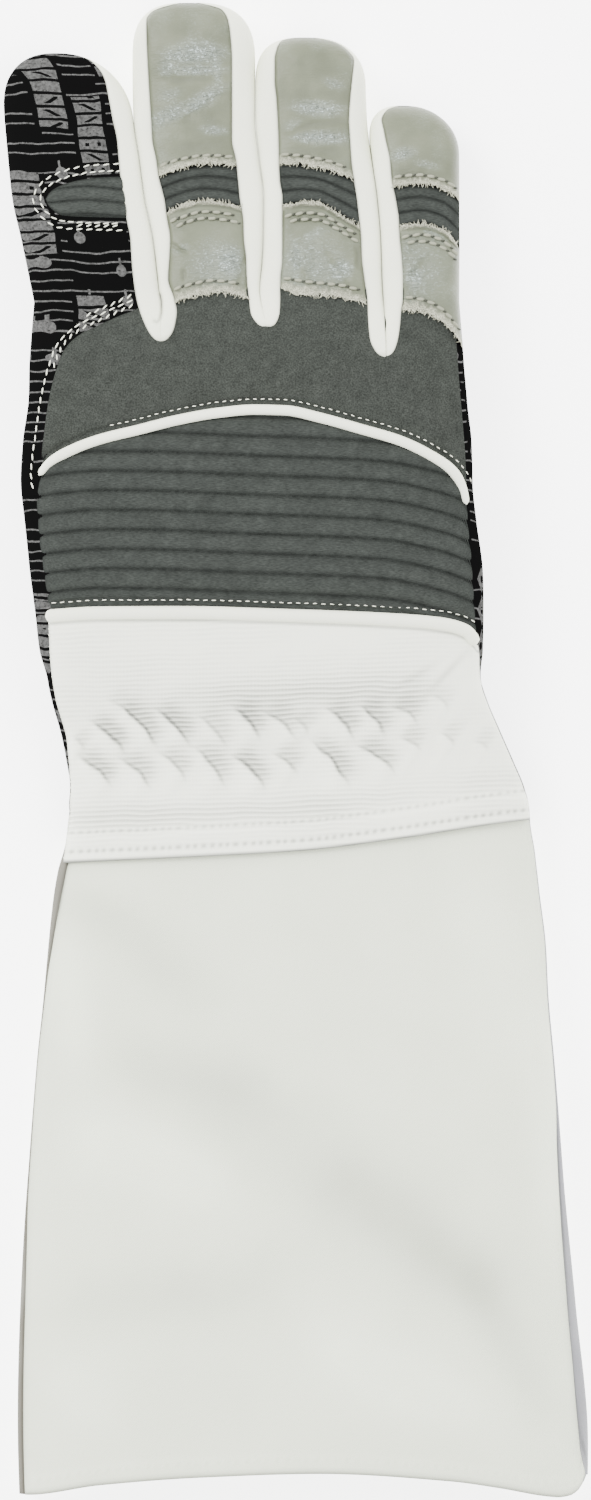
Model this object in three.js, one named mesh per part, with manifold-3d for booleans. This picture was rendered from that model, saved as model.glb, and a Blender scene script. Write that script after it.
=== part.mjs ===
// Long-cuffed fencing glove for the right hand. It lies palm down, with its thumb tucked under the palm.
// Millimetres. +Z is up, the fingers point along +Y, and the index finger is on the -X side. The origin lies on
// the surface that the glove rests on, under the middle of its outline.
//
// The glove is one hollow cloth shell, a flattened sleeve that ends in four finger tubes. Its panels are cut out
// of that shell one after another, as a pattern is, with a small gap along each seam.

import * as THREE from "three";
import { mergeVertices } from "three/addons/utils/BufferGeometryUtils.js";
import Module from "manifold-3d";

const wasm = await Module();
wasm.setup();

// Lengths along the glove, from the mouth of the cuff to the finger tips
const CUFF_LENGTH = 170;
const WRIST_LENGTH = 61;
const HAND_LENGTH = 82;
const INDEX_LENGTH = 65.5;
const MIDDLE_LENGTH = 78.5;
const RING_LENGTH = 69.5;
const LITTLE_LENGTH = 51;

// Widths
const PALM_WIDTH = 119;
const CUFF_TOP_WIDTH = 123.5;
const CUFF_MOUTH_WIDTH = 149.5;

// Heights of the empty glove as it lies
const CUFF_HEIGHT = 26;
const HAND_THICKNESS = 22;
const FINGER_THICKNESS = 18;

// The thumb under the palm
const THUMB_LENGTH = 86;
const THUMB_WIDTH = 34;
const THUMB_THICKNESS = 12;
const THUMB_ANGLE = 30;
const THUMB_MOUTH_LENGTH = 34;
const THUMB_MOUTH_WIDTH = 22;

// Cloth, seams and trimmings
const CLOTH = 2;
const SEAM_GAP = 0.3;
const FINGER_GAP = 0.7;
const PIPING_DIAMETER = 3;
const HEM_SLANT = 10.5;
const CUFF_EDGE_RISE = 7;
const RIB_PITCH = 5;
const RIB_GROOVE_DEPTH = 1.1;
const RIB_GROOVE_WIDTH = 2.8;
const FINGER_GROOVE_DEPTH = 0.9;
const FINGER_GROOVE_WIDTH = 2;
const PUCKER_LENGTH = 9;
const PUCKER_WIDTH = 3.4;
const PUCKER_DEPTH = 1.1;
const PUCKER_PITCH = 9.2;

// Where the zones of the sleeve end, measured from the mouth
const HEM_Y = CUFF_LENGTH;
const PIPING_Y = HEM_Y + WRIST_LENGTH;
const CROTCH_Y = PIPING_Y + HAND_LENGTH;
const TIP_Y = CROTCH_Y + MIDDLE_LENGTH;

// The sleeve's sections. along is a share of the zone's length, centre a share of PALM_WIDTH from the middle of
// the cuff, and lift a share of the height that the tucked thumb takes. In the cuff, spread runs from the top
// width, 0, to the mouth width, 1, and in the wrist and hand, width is a share of PALM_WIDTH. edge and top are
// the heights of the outline and of the back over the underside, as shares of CUFF_HEIGHT or HAND_THICKNESS.
const CUFF_SECTIONS = [
  { along: -0.06, centre: 0.008, spread: 0.96, lift: 0, edge: 0.3, top: 1 },
  { along: 0.09, centre: 0.007, spread: 1, lift: 0, edge: 0.3, top: 1 },
  { along: 0.3, centre: -0.004, spread: 0.85, lift: 0, edge: 0.31, top: 0.98 },
  { along: 0.49, centre: -0.009, spread: 0.66, lift: 0, edge: 0.32, top: 0.95 },
  { along: 0.67, centre: -0.009, spread: 0.47, lift: 0, edge: 0.34, top: 0.91 },
  { along: 0.86, centre: -0.012, spread: 0.31, lift: 0, edge: 0.36, top: 0.87 },
];
const WRIST_SECTIONS = [
  { along: 0, centre: -0.001, width: 1.035, lift: 0, edge: 0.42, top: 1 },
  { along: 0.12, centre: -0.001, width: 1.018, lift: 0.02, edge: 0.42, top: 0.98 },
  { along: 0.25, centre: -0.002, width: 1.008, lift: 0.09, edge: 0.43, top: 0.95 },
  { along: 0.38, centre: -0.02, width: 0.992, lift: 0.24, edge: 0.44, top: 0.93 },
  { along: 0.5, centre: -0.04, width: 0.976, lift: 0.46, edge: 0.45, top: 0.92 },
  { along: 0.63, centre: -0.063, width: 0.966, lift: 0.68, edge: 0.46, top: 0.94 },
  { along: 0.72, centre: -0.08, width: 0.956, lift: 0.81, edge: 0.46, top: 0.96 },
  { along: 0.85, centre: -0.086, width: 0.971, lift: 0.93, edge: 0.46, top: 0.99 },
];
const HAND_SECTIONS = [
  { along: 0, centre: -0.09, width: 0.984, lift: 1, edge: 0.46, top: 1 },
  { along: 0.17, centre: -0.097, width: 1.002, lift: 1, edge: 0.46, top: 1 },
  { along: 0.3, centre: -0.11, width: 1.002, lift: 1, edge: 0.46, top: 1 },
  { along: 0.43, centre: -0.12, width: 1.004, lift: 1, edge: 0.46, top: 1 },
  { along: 0.55, centre: -0.117, width: 0.984, lift: 1, edge: 0.46, top: 1 },
  { along: 0.68, centre: -0.116, width: 0.964, lift: 0.99, edge: 0.46, top: 1 },
  { along: 0.81, centre: -0.117, width: 0.954, lift: 0.94, edge: 0.46, top: 0.99 },
  { along: 1, centre: -0.117, width: 0.935, lift: 0.8, edge: 0.46, top: 0.95 },
];
// The edge of the mouth in plan: across is a share of the cuff's half width there, rise one of CUFF_EDGE_RISE.
const MOUTH_EDGE = [
  { across: -1.1, rise: 1 },
  { across: -0.99, rise: 0.45 },
  { across: -0.96, rise: 0.06 },
  { across: -0.9, rise: 0 },
  { across: -0.72, rise: 0.48 },
  { across: -0.4, rise: 0.8 },
  { across: 0.03, rise: 1 },
  { across: 0.48, rise: 0.72 },
  { across: 0.86, rise: 0.04 },
  { across: 0.95, rise: 0 },
  { across: 0.985, rise: 0.3 },
  { across: 1.1, rise: 1 },
];

// How square the sections are: 2 is an ellipse, more is squarer
const BACK_SQUARENESS = 2.8;
const UNDERSIDE_SQUARENESS = 3.4;
const FINGER_SQUARENESS = 2.3;
const THUMB_TOP_SQUARENESS = 2.6;
const THUMB_UNDER_SQUARENESS = 3;
const FLAT_CUT = 1.05;

// The lines between the fingers, from the outer side of the index finger to that of the little finger. along is
// a share of MIDDLE_LENGTH from the crotches, and the lines are shares of PALM_WIDTH. drop says how far the
// fingers still have to come down to the surface.
const FINGER_LINES = [
  { along: -0.25, lines: [-0.585, -0.308, -0.09, 0.182, 0.3506], drop: 1.02 },
  { along: 0, lines: [-0.585, -0.308, -0.09, 0.182, 0.3506], drop: 1 },
  { along: 0.205, lines: [-0.613, -0.323, -0.081, 0.178, 0.3516], drop: 0.72 },
  { along: 0.342, lines: [-0.633, -0.341, -0.08, 0.171, 0.3516], drop: 0.46 },
  { along: 0.479, lines: [-0.643, -0.354, -0.09, 0.158, 0.3516], drop: 0.23 },
  { along: 0.616, lines: [-0.6516, -0.366, -0.098, 0.148, 0.3516], drop: 0.08 },
  { along: 0.753, lines: [-0.659, -0.369, -0.098, 0.145, 0.3516], drop: 0 },
  { along: 1.1, lines: [-0.659, -0.369, -0.098, 0.145, 0.3516], drop: 0 },
];

// The fingers. dome is the length of the rounded tip as a share of the finger's width, lean how far its end is
// pulled to +X as a share of its half width, and square the squareness of the tip's outline.
const FINGERS = [
  { name: "index", length: INDEX_LENGTH, dome: 0.58, lean: -0.16, square: 2.3 },
  { name: "middle", length: MIDDLE_LENGTH, dome: 0.48, lean: -0.05, square: 2.8 },
  { name: "ring", length: RING_LENGTH, dome: 0.46, lean: -0.1, square: 2.6 },
  { name: "little", length: LITTLE_LENGTH, dome: 0.55, lean: -0.22, square: 2.4 },
];

// The edges of the white fourchettes on the back of each finger, as shares of the finger's half width. along is
// a share of the finger's length.
const FOURCHETTE_EDGES = {
  index: [
    { along: 0, right: 0.65 },
    { along: 0.3, right: 0.66 },
    { along: 0.65, right: 0.69 },
    { along: 0.82, right: 0.75 },
    { along: 0.95, right: 1.1 },
  ],
  middle: [
    { along: 0, left: -0.73, right: 0.78 },
    { along: 0.2, left: -0.71, right: 0.62 },
    { along: 0.6, left: -0.71, right: 0.62 },
    { along: 0.85, left: -0.8, right: 0.64 },
    { along: 0.96, left: -1.1, right: 1.05 },
  ],
  ring: [
    { along: 0, left: -0.66, right: 0.74 },
    { along: 0.35, left: -0.67, right: 0.65 },
    { along: 0.65, left: -0.64, right: 0.67 },
    { along: 0.85, left: -0.68, right: 0.8 },
    { along: 0.96, left: -1.1, right: 1.1 },
  ],
  little: [
    { along: 0, left: -0.47 },
    { along: 0.4, left: -0.53 },
    { along: 0.75, left: -0.59 },
    { along: 0.88, left: -0.68 },
    { along: 0.97, left: -1.1 },
  ],
};

// The rounded lower ends of the fourchettes on the back of the hand: across is a share of PALM_WIDTH, reach a
// share of HAND_LENGTH below the crotches, and half_width a share of PALM_WIDTH.
const FOURCHETTE_ENDS = [
  { name: "fourchette_index_middle", across: -0.308, reach: 0.134, half_width: 0.04 },
  { name: "fourchette_middle_ring", across: -0.076, reach: 0.089, half_width: 0.037 },
  { name: "fourchette_ring_little", across: 0.189, reach: 0.188, half_width: 0.034 },
];

// The cross seams of the fingers' backs, each through three points: across is a share of the finger's half
// width, and the seams are shares of its length. tip is where the tip leather ends, ribs where the ribbed strip
// ends, and band where the lower leather band ends.
const CROSS_SEAMS = {
  middle: [
    { across: -0.7, tip: 0.425, ribs: 0.301, band: -0.003 },
    { across: 0, tip: 0.459, ribs: 0.329, band: 0.017 },
    { across: 0.7, tip: 0.459, ribs: 0.318, band: 0 },
  ],
  ring: [
    { across: -0.7, tip: 0.517, ribs: 0.357, band: 0.034 },
    { across: 0, tip: 0.502, ribs: 0.346, band: 0.011 },
    { across: 0.7, tip: 0.449, ribs: 0.274, band: -0.015 },
  ],
  little: [
    { across: -0.6, tip: 0.569, ribs: 0.369, band: -0.051 },
    { across: 0.2, tip: 0.579, ribs: 0.379, band: -0.103 },
    { across: 1, tip: 0.513, ribs: 0.303, band: -0.24 },
  ],
};

// The ribbed inset on the index finger's knuckle. across is a share of the finger's half width, and low and high
// are shares of its length.
const INSET_EDGE = [
  { across: -0.53, low: 0.412, high: 0.418 },
  { across: -0.48, low: 0.385, high: 0.445 },
  { across: -0.36, low: 0.35, high: 0.468 },
  { across: -0.15, low: 0.335, high: 0.485 },
  { across: 0.2, low: 0.33, high: 0.492 },
  { across: 0.9, low: 0.326, high: 0.494 },
];

// Where the underside wraps onto the back: shares of the sleeve's half width. along runs from the mouth, -1, to
// the hem, 0, on to the wrist piping, 1, and to the crotches, 2.
const SIDE_SEAMS = [
  { along: -1, left: -0.985, right: 0.965 },
  { along: -0.1, left: -0.985, right: 0.98 },
  { along: 0, left: -1.06, right: 1.06 },
  { along: 0.4, left: -0.985, right: 1.06 },
  { along: 0.63, left: -0.965, right: 1.02 },
  { along: 0.8, left: -0.955, right: 0.975 },
  { along: 1, left: -0.945, right: 0.965 },
  { along: 1.3, left: -0.935, right: 0.965 },
  { along: 1.5, left: -0.91, right: 0.97 },
  { along: 1.68, left: -0.91, right: 0.975 },
  { along: 1.9, left: -0.91, right: 0.98 },
];
// The seam between the index finger's back and the back panel: across is a share of the sleeve's half width and
// along a share of HAND_LENGTH.
const INDEX_SEAM = [
  { across: -0.95, along: 0.6 },
  { across: -0.9, along: 0.69 },
  { across: -0.89, along: 0.765 },
  { across: -0.86, along: 0.82 },
  { across: -0.8, along: 0.875 },
  { across: -0.7, along: 0.915 },
  { across: -0.59, along: 0.949 },
  { across: -0.49, along: 0.975 },
  { across: -0.36, along: 1 },
];
// The arched piping and the wrist piping, and how the ribs sag towards the little finger's side
const ARCH = [
  { across: -1.05, along: 0.43 },
  { across: -0.914, along: 0.455 },
  { across: -0.825, along: 0.497 },
  { across: -0.65, along: 0.548 },
  { across: -0.47, along: 0.583 },
  { across: -0.29, along: 0.618 },
  { across: -0.12, along: 0.637 },
  { across: 0.02, along: 0.643 },
  { across: 0.15, along: 0.64 },
  { across: 0.41, along: 0.596 },
  { across: 0.6, along: 0.56 },
  { across: 0.77, along: 0.513 },
  { across: 0.86, along: 0.478 },
  { across: 0.93, along: 0.435 },
  { across: 1.05, along: 0.33 },
];
const WRIST_PIPING = [
  { across: -1.05, along: -0.002 },
  { across: -0.49, along: 0.003 },
  { across: 0.18, along: -0.002 },
  { across: 0.54, along: -0.016 },
  { across: 0.76, along: -0.026 },
  { across: 0.88, along: -0.045 },
  { across: 0.95, along: -0.075 },
  { across: 1.05, along: -0.12 },
];
const RIB_SAG = [
  { across: -1, sag: -0.02 },
  { across: -0.5, sag: -0.012 },
  { across: 0, sag: 0 },
  { across: 0.6, sag: 0.019 },
  { across: 0.88, sag: 0.057 },
  { across: 1, sag: 0.095 },
];

// The two rows of puckers that the elastic draws into the wrist band: across is where a row starts, as a share
// of PALM_WIDTH, along a share of WRIST_LENGTH, and rise how much it climbs from one pucker to the next.
const PUCKER_ROWS = [
  { across: -0.44, along: 0.51, rise: 0.006, count: 11 },
  { across: -0.49, along: 0.35, rise: 0.006, count: 9 },
];
const PUCKER_ANGLE = -48;

// Where the thumb's mouth lies under the palm: across is a share of PALM_WIDTH and along one of HAND_LENGTH.
const THUMB_ROOT = { across: -0.33, along: 0.09 };
const THUMB_MOUTH_AT = 0.24;
// The thumb's outline: width and height as shares of its own sizes
const THUMB_SECTIONS = [
  { along: 0, width: 0.05, height: 0.05 },
  { along: 0.03, width: 0.52, height: 0.55 },
  { along: 0.1, width: 0.86, height: 0.88 },
  { along: 0.2, width: 1, height: 1 },
  { along: 0.45, width: 0.98, height: 1 },
  { along: 0.7, width: 0.84, height: 0.96 },
  { along: 0.86, width: 0.74, height: 0.9 },
  { along: 0.94, width: 0.58, height: 0.74 },
  { along: 0.985, width: 0.3, height: 0.42 },
  { along: 1, width: 0.05, height: 0.05 },
];

// Where the sleeve's rings lie, as shares of each zone's length
const OUTER_RINGS = {
  cuff: [-0.06, 0.1, 0.3, 0.5, 0.75, 1],
  wrist: [0.2, 0.35, 0.5, 0.65, 0.8],
  hand: [0, 0.27, 0.54, 0.78],
};
const INNER_RINGS = {
  cuff: [-0.09, 0.1, 0.4, 0.7, 1],
  wrist: [0.25, 0.5, 0.75],
  hand: [0, 0.4, 0.78],
};
// The sleeve's end over the roots of the fingers: its length, the turns of its rings and how far it narrows
const END_ROUNDING = 0.11 * HAND_LENGTH;
const END_TURNS = [0, 40, 75];
const END_NARROWING = 0.15;
// How far the finger tubes reach into the hand, how far down its dome a tip is closed, and the share of a thin
// section that its lining may take
const FINGER_ROOT = 0.12 * HAND_LENGTH;
const TIP_CLOSING = 0.97;
const LINING_LIMIT = 0.8;
// How far the cords of the pipings sink into the cloth, as a share of their radius
const PIPING_SINK = 0.55;
// The palm's cloth is made in parts that meet at the wrist piping and this far below the crotches
const FINGER_PARTING = 0.04 * HAND_LENGTH;

// Faces round a tube and along it
const SLEEVE_SIDES = 20;
const LINING_SIDES = 14;
const FINGER_SIDES = 12;
const FINGER_LINING_SIDES = 10;
const THUMB_SIDES = 12;
const PIPING_SIDES = 6;
const PIPING_STEPS = 16;
const SEAM_STEPS = 6;
const LINE_STEPS = 12;
const HALVING_STEPS = 20;
const ROUND_STEP = 30;
// How far cutters run past what they cut, as a share of its length or width
const OVERRUN = 0.1;
const FAR = 400;

const COLOURS = {
  white: { color: 0xe3e4dd, roughness: 0.75, metalness: 0 },
  knit: { color: 0xe6e7e1, roughness: 0.85, metalness: 0 },
  black: { color: 0x1b1b1b, roughness: 0.8, metalness: 0 },
  grey: { color: 0x5f6562, roughness: 0.9, metalness: 0 },
  ribbed: { color: 0x555b59, roughness: 0.9, metalness: 0 },
  leather: { color: 0xabada0, roughness: 0.45, metalness: 0.15 },
};

// Shape-preserving cubic through the rows of a table, read at x in column xKey
function readTable(rows, xKey, read, x) {
  const last = rows.length - 1;
  if (x <= rows[0][xKey]) return read(rows[0]);
  if (x >= rows[last][xKey]) return read(rows[last]);
  let i = 0;
  while (x > rows[i + 1][xKey]) i += 1;
  const step = (k) => rows[k + 1][xKey] - rows[k][xKey];
  const slope = (k) => (read(rows[k + 1]) - read(rows[k])) / step(k);
  const tangent = (k) => {
    if (k === 0) return slope(0);
    if (k === last) return slope(last - 1);
    const before = slope(k - 1);
    const after = slope(k);
    if (before * after <= 0) return 0;
    const w1 = 2 * step(k) + step(k - 1);
    const w2 = step(k) + 2 * step(k - 1);
    return (w1 + w2) / (w1 / before + w2 / after);
  };
  const h = step(i);
  const t = (x - rows[i][xKey]) / h;
  const a = read(rows[i]);
  const b = read(rows[i + 1]);
  const t2 = t * t;
  const t3 = t2 * t;
  return (
    a * (2 * t3 - 3 * t2 + 1) +
    b * (3 * t2 - 2 * t3) +
    h * (tangent(i) * (t3 - 2 * t2 + t) + tangent(i + 1) * (t3 - t2))
  );
}

// The sleeve's sections with real sizes, from the mouth to the crotches
const THUMB_ROOM = THUMB_THICKNESS + SEAM_GAP;
const sleeveRows = [
  ...CUFF_SECTIONS.map((row) => ({
    y: row.along * CUFF_LENGTH,
    centre: row.centre * PALM_WIDTH,
    half: (CUFF_TOP_WIDTH + row.spread * (CUFF_MOUTH_WIDTH - CUFF_TOP_WIDTH)) / 2,
    low: row.lift * THUMB_ROOM,
    edge: row.lift * THUMB_ROOM + row.edge * CUFF_HEIGHT,
    top: row.lift * THUMB_ROOM + row.top * CUFF_HEIGHT,
  })),
  ...[
    [WRIST_SECTIONS, HEM_Y, WRIST_LENGTH],
    [HAND_SECTIONS, PIPING_Y, HAND_LENGTH],
  ].flatMap(([table, start, length]) =>
    table.map((row) => ({
      y: start + row.along * length,
      centre: row.centre * PALM_WIDTH,
      half: (row.width * PALM_WIDTH) / 2,
      low: row.lift * THUMB_ROOM,
      edge: row.lift * THUMB_ROOM + row.edge * HAND_THICKNESS,
      top: row.lift * THUMB_ROOM + row.top * HAND_THICKNESS,
    })),
  ),
];

function sleeveAt(y) {
  const read = (key) => readTable(sleeveRows, "y", (row) => row[key], y);
  return {
    centre: read("centre"),
    half: read("half"),
    low: read("low"),
    edge: read("edge"),
    top: read("top"),
  };
}

// Height of the outline's widest line: it splits the back from the underside
const CROTCH_EDGE = sleeveAt(CROTCH_Y).edge;
function edgeHeight(y) {
  if (y <= CROTCH_Y) return sleeveAt(y).edge;
  const along = (y - CROTCH_Y) / MIDDLE_LENGTH;
  const drop = readTable(FINGER_LINES, "along", (row) => row.drop, along);
  const lying = FINGER_THICKNESS / 2;
  return lying + (CROTCH_EDGE - lying) * drop;
}

// Height of the sleeve's back at a point inside its outline
function backHeight(x, y) {
  const s = sleeveAt(y);
  const across = Math.min(1, Math.abs(x - s.centre) / s.half);
  return s.edge + (s.top - s.edge) * (1 - across ** BACK_SQUARENESS) ** (1 / BACK_SQUARENESS);
}

function fingerLine(i, y) {
  const along = (y - CROTCH_Y) / MIDDLE_LENGTH;
  return PALM_WIDTH * readTable(FINGER_LINES, "along", (row) => row.lines[i], along);
}

// Middle, half width and tip scale of finger i at y
function fingerAt(i, y) {
  const finger = FINGERS[i];
  const left = fingerLine(i, y) + FINGER_GAP / 2;
  const right = fingerLine(i + 1, y) - FINGER_GAP / 2;
  const half = (right - left) / 2;
  const tip = CROTCH_Y + finger.length;
  const dome = finger.dome * 2 * half;
  const into = Math.min(1, Math.max(0, (y - tip + dome) / dome));
  const scale = (1 - into ** finger.square) ** (1 / finger.square);
  return { centre: (left + right) / 2 + finger.lean * half * into ** 2, half: half * scale, scale };
}

// A closed ring of a flattened section, back first. Its underside is cut flat at the bottom.
function sectionRing(sides, y, centre, half, edge, up, down, squareUp, squareDown) {
  const ring = [];
  for (let k = 0; k < sides; k += 1) {
    const angle = (2 * Math.PI * k) / sides;
    const square = k <= sides / 2 ? squareUp : squareDown;
    const c = Math.cos(angle);
    const s = Math.sin(angle);
    const x = centre + half * Math.sign(c) * Math.abs(c) ** (2 / square);
    const rise = Math.abs(s) ** (2 / square);
    ring.push([x, y, edge + (s > 0 ? up * rise : -down * Math.min(1, FLAT_CUT * rise))]);
  }
  return ring;
}

// A closed solid through rings of equal count, with a flat fan over each end
function loft(rings) {
  const count = rings[0].length;
  const positions = rings.flat(2);
  const index = [];
  for (let r = 0; r + 1 < rings.length; r += 1) {
    for (let k = 0; k < count; k += 1) {
      const a = r * count + k;
      const b = r * count + ((k + 1) % count);
      index.push(a, b, b + count, a, b + count, a + count);
    }
  }
  for (const [r, flip] of [
    [0, true],
    [rings.length - 1, false],
  ]) {
    const middle = positions.length / 3;
    const mean = (axis) => rings[r].reduce((sum, p) => sum + p[axis], 0) / count;
    positions.push(mean(0), mean(1), mean(2));
    for (let k = 0; k < count; k += 1) {
      const a = r * count + k;
      const b = r * count + ((k + 1) % count);
      index.push(...(flip ? [middle, b, a] : [middle, a, b]));
    }
  }
  const geometry = new THREE.BufferGeometry();
  geometry.setAttribute("position", new THREE.Float32BufferAttribute(positions, 3));
  geometry.setIndex(index);
  return solidOf(geometry);
}

// A three.js geometry as a manifold solid, facing out whatever way its rings ran
function solidOf(geometry) {
  const bare = geometry.clone();
  bare.deleteAttribute("normal");
  bare.deleteAttribute("uv");
  const merged = mergeVertices(bare, 1e-4);
  const triVerts = new Uint32Array(merged.index.array);
  const make = () =>
    new wasm.Manifold(
      new wasm.Mesh({ numProp: 3, vertProperties: new Float32Array(merged.attributes.position.array), triVerts }),
    );
  const solid = make();
  if (solid.volume() > 0) return solid;
  for (let i = 0; i < triVerts.length; i += 3) {
    [triVerts[i + 1], triVerts[i + 2]] = [triVerts[i + 2], triVerts[i + 1]];
  }
  return make();
}

// The outer or, with cloth, the inner surface of the sleeve
function sleeveSolid(cloth, shares, sides) {
  const rings = [];
  const ring = (y, thin) => {
    const s = sleeveAt(y);
    rings.push(
      sectionRing(
        sides,
        y,
        s.centre,
        (s.half - cloth) * (1 - END_NARROWING * (1 - thin)),
        s.edge,
        (s.top - s.edge - cloth) * thin,
        (s.edge - s.low - cloth) * thin,
        BACK_SQUARENESS,
        UNDERSIDE_SQUARENESS,
      ),
    );
  };
  for (const [start, length, alongs] of [
    [0, CUFF_LENGTH, shares.cuff],
    [HEM_Y, WRIST_LENGTH, shares.wrist],
    [PIPING_Y, HAND_LENGTH, shares.hand],
  ]) {
    for (const along of alongs) ring(start + along * length, 1);
  }
  const round = (s) => CROTCH_Y - cloth - END_ROUNDING * (1 - s);
  for (const turn of END_TURNS) {
    const a = THREE.MathUtils.degToRad(turn);
    ring(round(Math.sin(a)), Math.cos(a));
  }
  return loft(rings);
}

// The outer or, with cloth, the inner surface of finger i, from its root inside the hand to its tip
function fingerSolid(i, cloth, sides, rows) {
  const finger = FINGERS[i];
  const tip = CROTCH_Y + finger.length;
  const width = fingerLine(i + 1, tip) - fingerLine(i, tip);
  const dome = finger.dome * width;
  const root = CROTCH_Y - FINGER_ROOT;
  const ys = [];
  for (let r = 0; r < rows.shaft; r += 1) ys.push(root + ((tip - dome - root) * r) / rows.shaft);
  for (let r = 0; r <= rows.dome; r += 1) {
    ys.push(tip - dome + dome * Math.sin((Math.PI / 2) * (r / rows.dome) * TIP_CLOSING));
  }
  const rings = ys.map((y) => {
    const f = fingerAt(i, y);
    const thick = (FINGER_THICKNESS / 2) * f.scale;
    const along = cloth ? Math.min(y, tip - cloth) : y;
    const inset = Math.min(cloth, LINING_LIMIT * thick, LINING_LIMIT * f.half);
    return sectionRing(
      sides,
      along - (cloth && y > tip - dome ? cloth * ((y - tip + dome) / dome) ** 3 : 0),
      f.centre,
      f.half - inset,
      edgeHeight(y),
      thick - inset,
      thick - inset,
      FINGER_SQUARENESS,
      FINGER_SQUARENESS,
    );
  });
  return loft(rings);
}

// An outline moved outwards by d, with mitred corners
function grown(points, d) {
  const area = points.reduce((sum, [x, y], k) => {
    const [nx, ny] = points[(k + 1) % points.length];
    return sum + x * ny - nx * y;
  }, 0);
  const way = Math.sign(area) * d;
  const normal = (a, b) => {
    const l = Math.hypot(b[0] - a[0], b[1] - a[1]) || 1;
    return [(b[1] - a[1]) / l, (a[0] - b[0]) / l];
  };
  return points.map((p, k) => {
    const before = normal(points[(k + points.length - 1) % points.length], p);
    const after = normal(p, points[(k + 1) % points.length]);
    const dot = Math.max(-0.5, before[0] * after[0] + before[1] * after[1]);
    return [p[0] + (way * (before[0] + after[0])) / (1 + dot), p[1] + (way * (before[1] + after[1])) / (1 + dot)];
  });
}

// An upright prism over an outline
function prism(points, low = -FAR, high = FAR) {
  const corners = points.filter(([x, y], k) => {
    const [nx, ny] = points[(k + 1) % points.length];
    return Math.hypot(nx - x, ny - y) > SEAM_GAP;
  });
  const shape = new THREE.Shape(corners.map(([x, y]) => new THREE.Vector2(x, y)));
  const geometry = new THREE.ExtrudeGeometry(shape, { depth: high - low, bevelEnabled: false });
  geometry.translate(0, 0, low);
  return solidOf(geometry);
}

// Everything above the widest line of the outline, raised by rise
function backHalf(rise) {
  const points = [];
  const step = CUFF_LENGTH / (2 * LINE_STEPS);
  for (let y = -OVERRUN * CUFF_LENGTH; y < TIP_Y; y += step) points.push([y, edgeHeight(y) + rise]);
  const end = TIP_Y * (1 + OVERRUN);
  points.push([end, edgeHeight(TIP_Y) + rise], [end, FAR], [points[0][0], FAR]);
  const shape = new THREE.Shape(points.map(([y, z]) => new THREE.Vector2(y, z)));
  const geometry = new THREE.ExtrudeGeometry(shape, { depth: 2 * FAR, bevelEnabled: false });
  geometry.rotateY(Math.PI / 2);
  geometry.rotateX(Math.PI / 2);
  geometry.translate(-FAR, 0, 0);
  return solidOf(geometry);
}

function largest(solid) {
  return solid.decompose().reduce((best, s) => (s.volume() > best.volume() ? s : best));
}

// Points on the hand from shares of its half width and of HAND_LENGTH
function onHand(across, along) {
  const y = PIPING_Y + along * HAND_LENGTH;
  const s = sleeveAt(y);
  return [s.centre + across * s.half, y];
}

// The shell, and the panels cut from it
const shell = {
  rest: wasm.Manifold.union([
    sleeveSolid(0, OUTER_RINGS, SLEEVE_SIDES),
    ...FINGERS.map((_, i) => fingerSolid(i, 0, FINGER_SIDES, { shaft: 4, dome: 4 })),
  ]).subtract(
    wasm.Manifold.union([
      sleeveSolid(CLOTH, INNER_RINGS, LINING_SIDES),
      ...FINGERS.map((_, i) => fingerSolid(i, CLOTH, FINGER_LINING_SIDES, { shaft: 3, dome: 2 })),
    ]),
  ),
};
const back = backHalf(SEAM_GAP / 2);
const backGrown = backHalf(-SEAM_GAP / 2);

// Cuts one panel out of what is left of the shell, and leaves the seam gap round it
function cutPanel(outline, half = [back, backGrown]) {
  let region = prism(grown(outline, -SEAM_GAP / 2));
  let room = prism(grown(outline, SEAM_GAP / 2));
  if (half) {
    region = region.intersect(half[0]);
    room = room.intersect(half[1]);
  }
  const panel = largest(shell.rest.intersect(region));
  shell.rest = shell.rest.subtract(room);
  return panel;
}

const group = new THREE.Group();
function addPiece(name, solid, look) {
  const mesh = solid.getMesh();
  const geometry = new THREE.BufferGeometry();
  geometry.setAttribute("position", new THREE.BufferAttribute(mesh.vertProperties, 3));
  geometry.setIndex(new THREE.BufferAttribute(mesh.triVerts, 1));
  geometry.computeVertexNormals();
  const piece = new THREE.Mesh(geometry, new THREE.MeshStandardMaterial(COLOURS[look]));
  piece.name = name;
  group.add(piece);
}

// Fourchettes: the white strips between two fingers, round both sides and under the crotch
const fourchetteAlongs = [0.05, 0.3, 0.6, 0.82, 0.91, 0.96];
function fourchetteEdge(i, side) {
  const finger = FINGERS[i];
  return fourchetteAlongs.map((along) => {
    const y = CROTCH_Y + along * finger.length;
    const f = fingerAt(i, y);
    const share = readTable(FOURCHETTE_EDGES[finger.name], "along", (row) => row[side], along);
    return [f.centre + share * f.half, y];
  });
}
const fourchettes = FOURCHETTE_ENDS.map((end, i) => {
  const x = end.across * PALM_WIDTH;
  const wide = end.half_width * PALM_WIDTH;
  const low = CROTCH_Y - end.reach * HAND_LENGTH + wide;
  const bowl = [];
  for (let turn = 180; turn <= 360; turn += ROUND_STEP) {
    const a = THREE.MathUtils.degToRad(turn);
    bowl.push([x + wide * Math.cos(a), low + wide * Math.sin(a)]);
  }
  const left = fourchetteEdge(i, "right").reverse();
  const right = fourchetteEdge(i + 1, "left");
  const beyond = TIP_Y + PALM_WIDTH * OVERRUN;
  const outline = [...left, ...bowl, ...right, [right.at(-1)[0], beyond], [left[0][0], beyond]];
  return { name: end.name, solid: cutPanel(outline, null) };
});

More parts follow.
